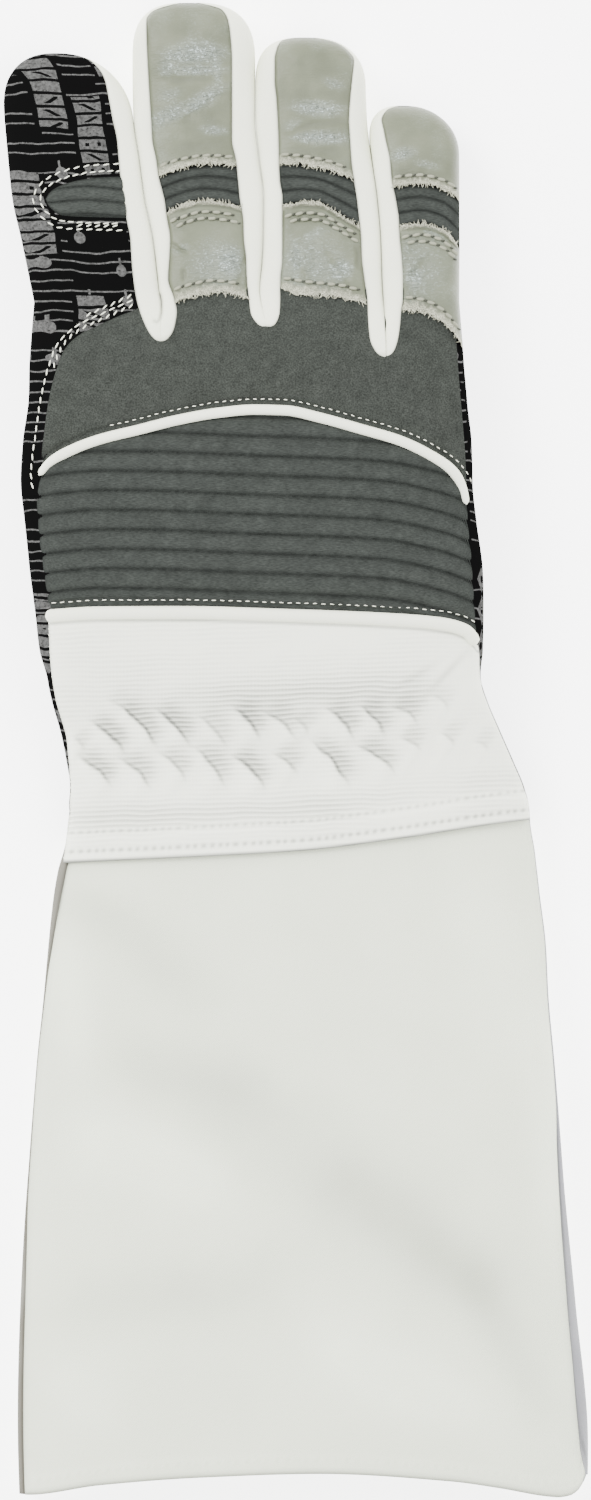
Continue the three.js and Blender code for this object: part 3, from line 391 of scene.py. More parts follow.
def print_look():
    black = (0.0026, 0.0026, 0.0026)
    look = Look("print", black, 0.95, 0.0)
    both = look.times
    x, y, z = look.axes()
    y = look.plus(y, both(look.noise(0.1, 2.0), 2.6))
    x = look.plus(x, both(look.noise(0.12, 2.0), 2.0))
    # The height shifts the print, so that it carries on down the side walls
    x = look.minus(x, z)

    def below(value, limit):
        return look.math("LESS_THAN", value, limit)

    def above(value, limit):
        return look.math("GREATER_THAN", value, limit)

    def near(value, middle, reach):
        return below(look.apart(value, middle), reach)

    def either(a, b):
        return look.math("MAXIMUM", a, b)

    def without(a, b):
        return both(a, look.minus(1.0, b))

    def cell(value, size):
        """Number of the cell and share of the way through it."""
        many = look.math("DIVIDE", value, size)
        return look.math("FLOOR", many), look.math("FRACT", many)

    def among(value, low, high):
        return both(above(value, low), below(value, high))

    # Columns of stacked blocks, of long lines with round marks, and of large marks
    column, u = cell(x, COLUMN)
    moved = look.plus(y, both(look.chance(column, 3.0), SEGMENT))
    kind = look.chance(column, cell(moved, SEGMENT)[0], 2.9)
    across = look.apart(u, 0.5)
    number, v = cell(moved, BLOCK)
    cut = look.chance(column, number, 1.7)
    slab = both(below(across, 0.37), near(v, 0.5, 0.39))
    # Slits inside the blocks, two of them slanting
    slant = both(u, 1.6)
    inside = both(below(across, 0.24), near(v, 0.5, 0.26))
    falling = both(near(look.plus(v, slant), 1.3, 0.13), inside)
    rising = both(near(look.minus(v, slant), -0.4, 0.13), inside)
    dots = both(near(across, 0.16, 0.05), near(v, 0.5, 0.13))
    for low, high, gone in ((0.0, 0.34, falling), (0.34, 0.56, dots), (0.56, 0.84, rising)):
        slab = without(slab, both(gone, among(cut, low, high)))
    # Large marks: a diamond with a round hole and a stem, and a round mark on a bar
    tall, w = cell(moved, LARGE)
    side = both(look.minus(u, 0.5), COLUMN)
    rise = both(look.minus(w, 0.5), LARGE)
    far = look.math("SQRT", look.plus(look.math("POWER", side, 2.0), look.math("POWER", rise, 2.0)))
    steep = look.plus(look.apart(side, 0.0), both(look.apart(rise, 0.0), 0.8))
    stem = both(near(side, 0.0, 0.3), among(rise, 1.2, 3.9))
    drop = either(without(below(steep, 3.0), below(far, 1.0)), stem)
    mark = either(below(far, 1.5), both(near(side, 0.0, 0.32), near(rise, 1.0, 2.2)))
    row, part = cell(y, LINE)
    strip = look.chance(look.math("FLOOR", look.math("DIVIDE", x, STRIP)), row)
    ruled = both(near(part, 0.5, 0.085), below(strip, 0.84))
    lined, large = among(kind, BLOCKS_END, LINES_END), above(kind, LINES_END)
    motif = either(both(slab, below(kind, BLOCKS_END)), both(drop, large))
    motif = either(motif, both(both(mark, lined), below(look.chance(column, tall, 5.1), 0.35)))
    lines = both(ruled, either(lined, both(large, below(strip, 0.4))))
    ink = look.math("MINIMUM", either(motif, lines), 1.0)
    wear_and_painted_light = both(ink, look.scale(look.noise(2.2, 3.0), 0.28, 0.42))
    patches = look.scale(look.noise(1.2, 2.0), 0.3, 0.7)
    faded = look.mix(patches, (0.036, 0.036, 0.035), (0.082, 0.082, 0.08))
    look.colour(look.mix(wear_and_painted_light, black, faded))
    look.bump((look.noise(3.0, 2.0), 0.05), (ink, 0.03))
    return look.material


def thread_look(name, colour):
    look = Look(name, colour, 0.8, 0.15)
    look.bump((look.noise(6.0, 1.0), 0.05))
    return look.material


# Each look's material and slot
LOOKS = {
    # For the cuff, its underside and the fourchettes, the dark colours are the tones of painted shade; the
    # underside's last one is the painted shade of its right-hand sliver.
    "cuff": (white_look("cuff", (0.77, 0.815, 0.655), (0.19, 0.2, 0.165)), "white_cloth"),
    "underside": (
        white_look("cuff_underside", (0.64, 0.66, 0.6), (0.1, 0.094, 0.076), (0.19, 0.19, 0.203)),
        "white_cloth",
    ),
    "fourchette": (white_look("fourchette", (0.82, 0.84, 0.69), (0.2, 0.205, 0.18)), "white_cloth"),
    "piping": (white_look("piping", (0.82, 0.84, 0.70), (0.4, 0.4, 0.34)), "white_cloth"),
    "knit": (knit_look(), "knit"),
    "grey": (grey_look("grey", (0.0262, 0.0288, 0.0255)), "grey_cloth"),
    "ribbed": (grey_look("ribbed", (0.028, 0.031, 0.0283), (0.35, 1.5, 1.5)), "ribbed_cloth"),
    "leather": (leather_look(), "leather"),
    "print": (print_look(), "black_print"),
    "white_thread": (thread_look("white_thread", (0.66, 0.67, 0.57)), "white_cloth"),
    "grey_thread": (thread_look("grey_thread", (0.215, 0.22, 0.165)), "white_cloth"),
    # Dark capsules that paint the shade inside the needle holes
    "hole": (thread_look("hole", (0.04, 0.042, 0.033)), "leather"),
}


def build(name, parts, look, nodes=(), thickness=0.0):
    """One object from grids of (x, y, z, face way, attribute grids), in millimetres."""
    points, faces, marks = [], [], {"fray": [], "shade": []}
    start = 0
    for x, y, z, way, *extra in parts:
        rows, columns = z.shape
        points.append(np.stack([x, y, z], -1).reshape(-1, 3))
        first = np.arange(rows - 1)[:, None] * columns + np.arange(columns - 1)[None, :]
        quads = np.stack([first, first + 1, first + columns + 1, first + columns], -1).reshape(-1, 4)
        faces.append((quads if way > 0 else quads[:, ::-1]) + start)
        given = extra[0] if extra else {}
        for key, values in marks.items():
            values.append((given.get(key, 0) + np.zeros(z.shape)).reshape(-1))
        start += rows * columns
    mesh = bpy.data.meshes.new(name)
    vertices = (np.concatenate(points) - ORIGIN) * MM
    quads = np.concatenate(faces)
    mesh.vertices.add(len(vertices))
    mesh.vertices.foreach_set("co", vertices.ravel())
    mesh.loops.add(quads.size)
    mesh.loops.foreach_set("vertex_index", quads.ravel())
    mesh.polygons.add(len(quads))
    mesh.polygons.foreach_set("loop_start", np.arange(0, quads.size, 4))
    mesh.update(calc_edges=True)
    mesh.validate()
    mesh.polygons.foreach_set("use_smooth", np.ones(len(mesh.polygons), bool))
    for key, values in marks.items():
        layer = mesh.attributes.new(key, "FLOAT", "POINT")
        layer.data.foreach_set("value", np.concatenate(values).astype(np.float32))
    return place(name, mesh, look, nodes, thickness)


def add(name, data):
    """A new object in the scene."""
    item = bpy.data.objects.new(name, data)
    bpy.context.scene.collection.objects.link(item)
    return item


def place(name, mesh, look, nodes=(), thickness=0.0):
    material, slot = LOOKS[look]
    mesh.materials.append(material)
    piece = add(name, mesh)
    if thickness:
        wall = piece.modifiers.new("wall", "SOLIDIFY")
        wall.thickness = thickness * MM
        wall.offset = -1
    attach(piece, "root")
    if nodes:
        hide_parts(*nodes)
    return piece


def steps(length, pitch):
    return max(4, int(DETAIL * length / pitch))


def span(length, pitch):
    """Shares from 0 to 1 along a grid's side of that length."""
    return np.linspace(0, 1, steps(length, pitch))


def shares(points, left, right):
    """A line's height over the share of the way from left to right."""
    return curve(sorted(((x - left(y)) / (right(y) - left(y)), y) for x, y in points))


def between(low, high, left, right, columns, rows, up=None):
    """x and y of a grid between two lines and two side curves, with its shares."""
    t = np.linspace(0, 1, rows)
    s, t = np.meshgrid(np.linspace(0, 1, columns), up(t) if up else t)
    y = low(s) + (high(s) - low(s)) * t
    x = left(y) + (right(y) - left(y)) * s
    return x, y, s, t


def rim(s, t, size_x, size_y, width):
    """1 inside a panel, falling to 0 at its edges over that width. With 0.5 as t, at the sides only."""
    near = np.minimum(np.minimum(s, 1 - s) * size_x, np.minimum(t, 1 - t) * size_y)
    return 1 - (1 - np.clip(near / width, 0, 1)) ** 2


def beside_line(x, y, x0, y0, x1, y1):
    """Place along a line, from -0.5 to 0.5, and distance to its left."""
    length = np.hypot(x1 - x0, y1 - y0)
    ux, uy = (x1 - x0) / length, (y1 - y0) / length
    return ((x - x0) * ux + (y - y0) * uy) / length - 0.5, -(x - x0) * uy + (y - y0) * ux


def folds(rows, x, y, taper, bend=0.0):
    """Depth of soft folds, from rows of both ends, width and depth."""
    total = 0 * x
    for *ends, width, depth in rows:
        along, away = beside_line(x, y, *ends)
        total += depth * np.exp(-((taper * along) ** 4)) * bell(away + bend, width)
    return total


def to_tip(t):
    return np.sin(t * np.pi / 2)


def round_ends(t):
    return (1 - np.cos(t * np.pi)) / 2


# Edges of the fingers' back panels, as x over y
INDEX_RIGHT = [
    (313.5, -42.7), (318.7, -43.5), (324, -44), (329.2, -44.3), (334.4, -45.3), (339.7, -46.1),
    (344.9, -46.9), (350.2, -47.4), (355.4, -47.9), (360.6, -49), (365.9, -50), (371.1, -51.1),
    (376.4, -55), (378.4, -60),
]
MIDDLE_LEFT = [
    (313.5, -32.7), (318.7, -34.3), (324, -34), (329.2, -33.8), (334.4, -34.6), (339.7, -35.4),
    (344.9, -36.7), (350.2, -37.5), (355.4, -38.5), (360.6, -38.8), (371.1, -39.5), (386.8, -40.1),
    (388.9, -38.8), (391.6, -31),
]
MIDDLE_RIGHT = [
    (313.5, -13.4), (318.7, -13.9), (324, -14.1), (329.2, -14.7), (334.4, -14.9), (339.7, -15.7),
    (344.9, -16.2), (350.2, -16.8), (355.4, -17.8), (376.4, -17.8), (381.6, -18.1), (386.8, -18.9),
    (389.4, -20.4), (391.6, -27),
]
RING_LEFT = [
    (313.5, -5), (318.7, -5), (324, -4.5), (339.7, -4.5), (344.9, -5.2), (355.4, -5.5), (365.9, -6),
    (371.1, -6.5), (376.4, -6.5), (379, -6), (381.6, -4.5), (382.5, -1),
]
RING_RIGHT = [
    (313.5, 17.5), (318.7, 16.8), (324, 16.2), (329.2, 16), (334.4, 15.5), (339.7, 14.9), (344.9, 14.1),
    (350.2, 13.4), (355.4, 13.1), (360.6, 12.8), (365.9, 13.1), (371.1, 13.6), (376.4, 14.1), (379, 12.3),
    (381.1, 9.2), (382.5, 3.5),
]
LITTLE_LEFT = [
    (309.6, 26.5), (313.5, 27), (318.7, 27), (324, 26.7), (329.2, 26.2), (334.4, 25.9), (339.7, 25.1),
    (344.9, 24.1), (350.2, 23.6), (355.4, 22.5), (358, 22), (360.6, 21.5), (363.3, 23), (364.6, 26),
]
# The rounded ends of the white fourchettes on the back of the hand: left and right edges, x over y
TONGUES = {
    "fourchette_index_middle": (
        [
            (302.2, -36.2), (302.5, -37.4), (303.4, -38.5), (305.1, -39.7), (307.0, -40.6), (310.4, -41.9),
            *INDEX_RIGHT,
        ],
        [
            (302.2, -36.2), (302.5, -35.1), (303.3, -34.1), (305.1, -33.0), (307.0, -32.5), (310.0, -32.1),
            *MIDDLE_LEFT,
        ],
    ),
    "fourchette_middle_ring": (
        [(305.9, -8.6), (306.1, -9.9), (306.9, -11.2), (309.6, -12.9), *MIDDLE_RIGHT],
        [(305.9, -8.6), (306.2, -7.1), (307.3, -6.0), (309.8, -5.2), *RING_LEFT],
    ),
    "fourchette_ring_little": (
        [(298.0, 22.4), (298.6, 20.8), (299.9, 19.5), (303.0, 18.2), (308.3, 17.7), *RING_RIGHT],
        [(298.0, 22.4), (298.9, 23.9), (300.4, 24.9), (304.3, 25.9), *LITTLE_LEFT],
    ),
}
# Lines across the back, as y over x: the seam by the index finger, the two pipings, the hem and the mouth
SEAM = [
    (-42.4, 311.4), (-47.1, 309.3), (-52.4, 306.9), (-57.6, 304.3), (-61.5, 300.4), (-63.6, 295.2),
    (-65, 289.9), (-66, 284.7), (-67, 276.8), (-67.8, 271.6),
]
ARCH = [
    (-68.1, 267.4), (-65.5, 270.5), (-58.9, 274.2), (-52.4, 276.6), (-41.9, 279.2), (-31.4, 281.8),
    (-21, 283.6), (-11.8, 284.4), (-3.9, 284.2), (5.2, 282.3), (15.7, 279.4), (26.2, 276.3), (34, 272.6),
    (39.3, 269), (41.5, 266.2), (43, 262.4), (43.5, 259.8),
]
WRIST = [
    (-66.3, 230.6), (-52.4, 231.4), (-31.4, 231.5), (-5.2, 230.8), (21, 229.8), (36.7, 228.6),
    (43.2, 226.8), (46.1, 223.4),
]
HEM_LINE = [(-61.8, 166.3), (-26.2, 167.9), (0, 169.4), (26.2, 172.6), (52.4, 176.5), (61.2, 177.5)]
MOUTH = [
    (-73.2, 3), (-72, 0.6), (-52.4, 3.4), (-26.2, 5.5), (5.2, 6.5), (39.3, 4.5), (52, 2.7), (64.6, 0.4),
    (67.8, 0.1), (70.7, 0.5), (72.7, 1.7), (74.3, 4), (75.1, 7.5),
]
# How far the cuff's back stays inside the outline on each side, over the distance from the mouth
CUFF_LEFT = [
    (0, 1.6), (15, 1.6), (51.6, 1.4), (64.7, 1.1), (77.8, 0.6), (91, 0.4), (117, 0.3), (135, 0.6),
    (147, 1.4), (157, 2), (163, 2.3), (172, 2.2),
]
CUFF_RIGHT = [
    (0, 0.4), (5.5, 0.7), (9.7, 1.7), (13, 2.3), (25, 2.9), (38.5, 2.6), (64.7, 2.1), (77.8, 1.7),
    (91, 1.3), (104, 0.6), (130, 0.4), (156.4, 0.3), (178, 0.2),
]
# How far the knit band's right edge stays inside the outline, over y: black cloth shows beside it
KNIT_RIGHT = [(166, 0), (212, 0), (218, 0.5), (221.8, 0.9), (226, 1.8), (232, 2.2)]
# Left and right edges of the grey and knit panels on the back of the hand
PANEL_LEFT = [
    (166.3, -62), (174.7, -61), (182.5, -60.3), (187.8, -60.3), (198.3, -61), (203.5, -62.3),
    (208.7, -63.8), (219.2, -65.2), (229.7, -65.7), (237.5, -66.5), (245.4, -67.6), (253.3, -68.6),
    (261.1, -69.1), (266.4, -68.2), (276.8, -67), (284.7, -66), (289.9, -65), (295.2, -63.6),
    (300.4, -61.5), (304.3, -57.6), (306.9, -52.4), (309.3, -47.1), (311.4, -42.4),
]
PANEL_RIGHT = [
    (166.3, 61.5), (182.5, 59.8), (208.4, 50), (221.8, 47), (231.8, 46), (245.4, 45.2), (253.3, 44.4),
    (261.1, 43.8), (269, 43.4), (276.8, 42.9), (287.3, 42), (296.5, 41.3), (304, 40.8), (318, 40.2),
]
panel_left, panel_right = curve(PANEL_LEFT), curve(PANEL_RIGHT)
# Distance between the ribs of the ribbed panel, and how far they sag, over x
RIB_PITCH = 5.1
rib_sag = curve(
    [(-69, 0.5), (-61, -0.5), (-52, -1.1), (-40, -1.0), (-14, 0.0), (21, 1.5), (37, 4.6), (46, 7.8)]
)
# Gathers of the knit band, from end to end of each crest, with its strength. Each also paints shade beside
# its crest and a highlight on its dome.
PUCKERS = [
    (-58.9, 198.8, -56.6, 196.4, 0.5), (-53.4, 202.4, -46.8, 196.4, 1), (-49.4, 208.8, -44.6, 205.2, 0.35),
    (-45.2, 205.9, -38.4, 198.4, 1), (-36.4, 205.4, -29.8, 198.6, 1), (-25.6, 204, -19.8, 198, 0.6),
    (-16.4, 205.8, -11.2, 200, 0.9), (-8, 205.2, -1.8, 200, 0.75), (-0.7, 203.6, 1.9, 200.8, 0.5),
    (7.9, 206, 13.4, 200, 0.85), (16.7, 206.5, 21.6, 201, 0.85), (25, 206.8, 30, 203.6, 0.65),
    (34.9, 209.6, 38.5, 207, 0.4), (-56.8, 193.4, -50.4, 187.6, 0.95), (-46, 193, -40, 187.2, 0.85),
    (-36, 194.4, -30.6, 189.2, 0.75), (-26.4, 195.3, -20.4, 188, 0.8), (-16.4, 193.4, -10.2, 187.2, 1),
    (-6, 194.4, -1.4, 190.6, 0.75), (4.5, 196.8, 11.6, 188.5, 0.95), (16, 196.4, 23.5, 191.2, 0.9),
    (26.7, 198.6, 30.9, 196.2, 0.6), (37.3, 199.9, 40.2, 197.7, 0.5), (46, 197.8, 48.8, 196, 0.4),
]
# Soft folds of the cuff, from end to end, with their width and depth. The depth also paints shade into the
# cloth, and a highlight where it is below 0.
CUFF_FOLDS = [
    (-62, 162, -24, 128, 8, 0.75), (-54, 117, -8, 102, 9, 0.6), (-30, 112, 52, 50, 15, 0.6),
    (6, 86, 52, 53, 9, 0.65), (30, 66, 50, 52, 6, 0.25), (46, 58, 63, 22, 6, 0.6),
    (-60, 48, -8, 56, 9, 0.65), (-58, 95, -18, 80, 10, -0.9), (-62, 146, -56, 112, 6, -0.7),
    (4, 42, 50, 18, 10, -0.8), (64, 130, 67, 64, 5, -0.8), (44, 164, 60, 110, 11, -0.5),
    (-62, 36, -50, 14, 9, -0.4),
]
# Wrinkled places on the leather, which also get a painted pearl-like highlight: middle, size along and
# across, turn and strength
WRINKLES = [
    (-27.5, 377.5, 7, 2.4, 4, 0.9), (-22, 374, 1.6, 4.2, 12, 0.7), (-34.5, 374.5, 2.2, 2.6, -20, 0.6),
    (-27, 373.5, 7, 1.5, 0, 0.8), (-34, 361.5, 5, 2.4, 25, 0.7), (-25.5, 365.5, 6.5, 2, 32, 0.8),
    (-22.5, 357.8, 3.2, 1.2, -4, 0.6), (-34, 367, 3, 1.6, 20, 0.4), (4.5, 363.5, 5.6, 1.8, -4, 0.9),
    (5, 355.8, 6.5, 1.5, -2, 0.8), (9, 370, 2.6, 1.3, -20, 0.45), (-2, 359, 2.6, 1.6, 30, 0.3),
    (27, 351.5, 3, 1.6, 10, 0.6), (33, 348.8, 3.5, 1, -14, 0.3), (-18.6, 323, 3.6, 4.4, 20, 1),
    (-31, 326.5, 2.6, 1.2, 10, 0.4), (-1, 324, 2, 4.2, 8, 0.9), (10.5, 321, 3, 2.8, 30, 0.95),
    (3.5, 330, 3.4, 1.6, 30, 0.4), (30, 319, 2.4, 3.4, -18, 0.95), (34.5, 331, 3.8, 1.4, -38, 0.5),
    (26, 324.5, 2, 1.8, 0, 0.3), (-22, 322, 7, 6, 0, 0.4), (3.5, 322.5, 9, 7, 0, 0.4),
    (30, 321, 7.5, 8, -15, 0.35),
]
# Creases between the two legs of each fourchette near its rounded end, x over y
CREASES = [
    curve([(302, -36.2), (306, -36.3), (309.7, -36), (312.5, -36.1), (FREE, -36.9), (FREE + 6, -37.4)]),
    curve([(305, -8.6), (309, -9.3), (FREE, -10.4), (FREE + 6, -10.2)]),
    curve([(297.5, 22.4), (304, 22.2), (310, 22), (FREE, 21.7), (FREE + 6, 21.4)]),
]
# The hooked end of the first crease
HOOK = [(-36.5, 314.5), (-36.1, 312.5), (-36.1, 309.7), (-36.6, 307.9), (-37.2, 307.2), (-37.9, 307.5)]
# Heights of the finger seams at shares of the way across: tip is the tip leather's raw edge, top and low
# are the lower band's edges
FINGER_SEAMS = {
    "middle": {
        "tip": [(0, 345.8), (0.33, 348), (0.66, 348.9), (1, 348.4)],
        "top": [(0, 336.4), (0.2, 337.8), (0.5, 339.2), (0.75, 338.8), (1, 337.5)],
        "low": [(0, 312.5), (0.25, 313.9), (0.55, 315), (0.8, 314.6), (1, 313.3)],
    },
    "ring": {
        "tip": [(0, 349.3), (0.25, 348.9), (0.65, 347.5), (1, 344.9)],
        "top": [(0, 337.9), (0.3, 338.9), (0.5, 338.6), (0.7, 336.3), (1, 332.4)],
        "low": [(0, 315.9), (0.33, 314.6), (0.7, 313.8), (1, 312.1)],
    },
    "little": {
        "tip": [(0, 343.1), (0.4, 343.7), (0.75, 342.5), (1, 339.6)],
        "top": [(0, 332.3), (0.35, 333.2), (0.7, 331.7), (1, 327.2)],
        "low": [(0, 310.8), (0.3, 310.2), (0.65, 308), (0.88, 304.3), (1, 300.9)],
    },
}
# Upper and lower edges of the ribbed inset on the index finger's knuckle, as y over x
INSET_HIGH = [(-66.5, 339.7), (-65.6, 341.2), (-62.9, 343.1), (-57.6, 344.7), (-52.4, 345.4), (-46.0, 345.7)]
INSET_LOW = [(-66.5, 339.7), (-65.9, 338.2), (-65.0, 337.1), (-62.3, 335.4), (-57.6, 335.0), (-46.0, 334.7)]
PALM_NODES = ["palm", "palm_wrist", "index_finger", "middle_underside", "ring_underside", "little_underside"]
# The thumb: share of its length, and shares of its width and height there
THUMB = [
    (0, 0.05, 0.05), (0.03, 0.52, 0.55), (0.1, 0.86, 0.88), (0.2, 1, 1), (0.45, 0.98, 1), (0.7, 0.84, 0.96),
    (0.86, 0.74, 0.9), (0.94, 0.58, 0.74), (0.985, 0.3, 0.42), (1, 0.05, 0.05),
]
THUMB_LENGTH, THUMB_WIDTH, THUMB_HEIGHT = 86.0, 34.0, 12.0
# Its turn in degrees, and the share of its length at which it passes THUMB_ROOT
THUMB_ANGLE, THUMB_MOUTH_AT = 30, 0.24
THUMB_ROOT = (-39.3, 238.4)


def lift(base, amount):
    """A line moved up by that much."""
    return lambda s: base(s) + amount


# Plain grey back panel
arch = shares(ARCH, panel_left, panel_right)
seam_over_x = curve(sorted(SEAM + [(-41.0, 313.0), (-38.0, 316.5), (45.0, 317.0)]))
arch_over_x = curve(ARCH)
x = np.linspace(-67.9, 44.3, steps(113, 0.55))
t = span(45, 0.5)[:, None]
high, low = seam_over_x(x), arch_over_x(x)
y = low + np.maximum(high - low, 0.3) * t
x = np.minimum(np.broadcast_to(x, y.shape), panel_right(y))
s, t = np.broadcast_to(np.linspace(0, 1, y.shape[1]), y.shape), np.broadcast_to(t, y.shape)
border = rim(s, t, 113, 40, 1.4)
groove = bell(y - arch_over_x(x) - 2.75, 0.5)
z = surface(x, y, 1) + 0.55 * border - 0.15 + 0.4 * octaves(x, y, 18, 3) - 0.35 * groove
# Painted shade along the panel's edges and in the groove beside the stitch row
shade = 0.55 * (1 - border) + 0.3 * groove
back_panel = build("back_panel_cloth", [(x, y, z, 1, {"shade": shade})], "grey", ["back_panel"])

# Ribbed panel with soft round ribs that sag towards the little finger's side
wrist = shares(WRIST, panel_left, panel_right)
x, y, s, t = between(
    lift(wrist, 0.6), lift(arch, -0.6), panel_left, panel_right, steps(113, 0.6), steps(52, 0.3)
)
phase = (y + rib_sag(x) - 231.6) / RIB_PITCH
first = smooth((y + rib_sag(x) - 233.8) / 1.2)
wave = np.abs(np.sin(np.pi * phase))
ribs = wave**0.5 * first + 0.5 * (1 - first)
border = rim(s, t, 113, 50, 1.6)
z = surface(x, y, 1) + (1.3 * ribs - 0.5) * border + 0.15 * octaves(x, y, 7, 11) - 0.4 * (1 - border)
# Painted shade in the grooves, on one flank of each rib, along the edges and in the flat strip by the wrist
# piping
upper = 0.5 + 0.5 * np.cos(np.pi * 2 * (phase - 0.75))
shade = 0.52 * (1 - wave) ** 3 * first + 0.14 * upper * first + 0.5 * (1 - border) + 0.15 * (1 - first)
shade = np.clip(shade, 0, 1)
ribbed_panel = build("ribbed_panel_cloth", [(x, y, z, 1, {"shade": shade})], "ribbed", ["ribbed_panel"])

# Knit wrist band, drawn in by two rows of elastic
hem = shares(HEM_LINE, panel_left, panel_right)
knit_inset = curve(KNIT_RIGHT)


def knit_right(y):
    return right_side(y) - knit_inset(y)


x, y, s, t = between(hem, lift(wrist, -0.4), panel_left, knit_right, steps(120, 0.45), steps(62, 0.4))
height, shade, taut = 0 * x, 0 * x, 0 * x
for *line, strength in PUCKERS:
    a, b = beside_line(x, y, *line)
    b = b + 0.45 * (2 * a) ** 2 + 0.35 * noise(x, y, 2.6, 17)
    ends = np.exp(-((1.65 * a) ** 4))
    dome_ends = np.exp(-((1.7 * (a - 0.04)) ** 4))
    wide = 2.6 + 3.6 * np.clip(a + 0.5, 0, 1)
    dome = np.where(b < 0, bell(b, wide), bell(b, 0.7))
    height += strength * (1.35 * dome_ends * dome - 0.6 * ends * bell(b - 1.8, 1.7))
    # Painted shade on each crest's crease and on the slope beside it, and a painted highlight (lit) on its
    # dome
    slope = 0.27 * np.exp(-np.maximum(b - 0.5, 0) / 3.2) * smooth(b / 0.6)
    lit = 0.14 * dome_ends * np.where(b < 0, dome, 0)
    shade += strength * (ends * (0.5 * bell(b - 0.5, 0.48) + slope) - lit)
    taut += strength * ends * bell(b - 2.5, 2.8)
above = bell(y - 210.5 - 0.03 * x, 4.6) * (0.35 + 0.65 * smooth((x + 35) / 25))
above = above * (1 - smooth((x - 30) / 9))
below = bell(y - hem(s) - 11.0, 3.6) * (1 - 0.6 * smooth((x - 10) / 30))
creases = 0.55 * bell(x - 37 - 0.9 * (y - 214), 1.3) * bell(y - 215.5, 5.5)
creases += 0.35 * bell(x - 30.5 - 1.5 * (y - 215), 1.8) * bell(y - 215, 3.5)
rise = y - hem(s)
turned = 0.7 * (1 - smooth((rise - 7.4) / 1.2)) + 0.4 * bell(rise, 1.4)
pitted = 0.55 + 0.45 * np.sin(2 * np.pi * (x / 2.15 + 0.15 * noise(x, 0 * x, 3, 19)))
rows = bell(rise - 2.6, 0.55) * pitted + 0.7 * bell(rise - 7.6, 0.5) * pitted
under = np.exp(-((np.maximum(rise - 0.1, 0) / 0.45) ** 2))
side = rim(s, 0.5, 118, 100, 1.0)
z = surface(x, y, 1) + 0.7 * side + np.clip(height, -1.2, 1.9) + turned - 0.5 * rows - 0.9 * creases
z = z + 0.35 * octaves(x, y, 15, 23) * smooth((y - 178) / 15)
# Painted shade under the wrist piping, in the hem rows' dimples, in the creases, along the sides and along
# the hem's lower edge, and a painted highlight on the turned hem
top_edge = bell(wrist(s) - y - 2.1, 0.4) * 0.45
lines = 0.55 * rows + 0.5 * creases + 0.35 * (1 - side) + top_edge + 0.75 * under
shade = np.clip(shade + lines - 0.1 * bell(rise - 6.4, 0.7), -0.14, 0.78)
# taut sets how deep the rows are, as bumps and as painted shade in their troughs
taut = np.clip(0.8 * taut + 0.8 * above + 0.55 * below, 0, 1)
build("wrist_band_knit", [(x, y, z, 1, {"shade": shade, "fray": taut})], "knit", ["wrist_band"], 1.2)

# Cuff: the back, and the underside that shows as a sliver at both sides
left_strip, right_strip = curve(CUFF_LEFT), curve(CUFF_RIGHT)


def cuff_left(y):
    return left_side(y) + left_strip(y)


def cuff_right(y):
    return right_side(y) - right_strip(y)


mouth = shares(MOUTH, cuff_left, cuff_right)
x, y, s, t = between(mouth, lift(hem, 2.0), cuff_left, cuff_right, steps(146, 0.95), steps(170, 0.95))
turned = 0.4 * (1 - smooth((y - mouth(s) - 4.2) / 0.9))
dent = folds(CUFF_FOLDS, x, y, 1.9)
waves = 0.2 * octaves(x * 0.7, y * 0.4, 22, 31)
calm = smooth(t * 8) * smooth((1 - t) * 10)
side = rim(s, t, 146, 170, 2.0)
z = surface(x, y, 1) + 0.5 * side - 0.3 + turned + (waves - 1.5 * dent) * calm
row = bell(y - mouth(s) - 3.6, 0.6) * np.sin(2 * np.pi * x / 2.6)
brink = bell(y - mouth(s), 0.8)
near_hem = 0.12 * bell(hem(s) - y, 2.5)
z = z + 0.2 * row
flank = 0.16 * np.exp(-((x - cuff_left(y)) / 2.5)) + 0.1 * np.exp(-((cuff_right(y) - x) / 1.5))
# Painted shade in the folds, along the sides and edges, at the mouth's rim and as a shadow under the knit's
# hem; the stitch row and the folds of negative depth also get painted highlights
shade = 0.1 + 0.24 * dent * calm + flank + 0.3 * (1 - side) - 0.07 * row + 0.4 * brink + near_hem
shade = np.clip(shade, -0.05, 1)
build("cuff_back_cloth", [(x, y, z, 1, {"shade": shade})], "cuff", ["cuff_back"], CLOTH)


def underside(y, left, right, columns):
    """A grid round the underside, from a place on the back's left side to one on its right side, and
    where it is on the back."""
    t = np.linspace(0, 1, columns)[None, :]
    middle, half = (left_side(y) + right_side(y)) / 2, (right_side(y) - left_side(y)) / 2
    start = np.arccos(np.clip((left - middle) / half, -1, 1))
    end = np.arccos(np.clip((right - middle) / half, -1, 1))
    angle = start + (2 * np.pi + end - start) * t
    x = middle + half * np.cos(angle)
    y = np.broadcast_to(y, x.shape)
    upper = np.sin(angle) > 0
    z = np.where(upper, surface(x, y, 1), surface(x, y, -1))
    return x, y, np.maximum(z, 0.05), upper


t = span(172, 1.3)[:, None]
y = 1.0 + HEM * t
x, y, z, upper = underside(y, cuff_left(y) + 0.8, cuff_right(y) - 0.8, steps(160, 1.15))
z = z - 1.2 * upper * (smooth((x - cuff_left(y) + 0.6) / 0.8) + smooth((cuff_right(y) + 0.6 - x) / 0.8) - 1)
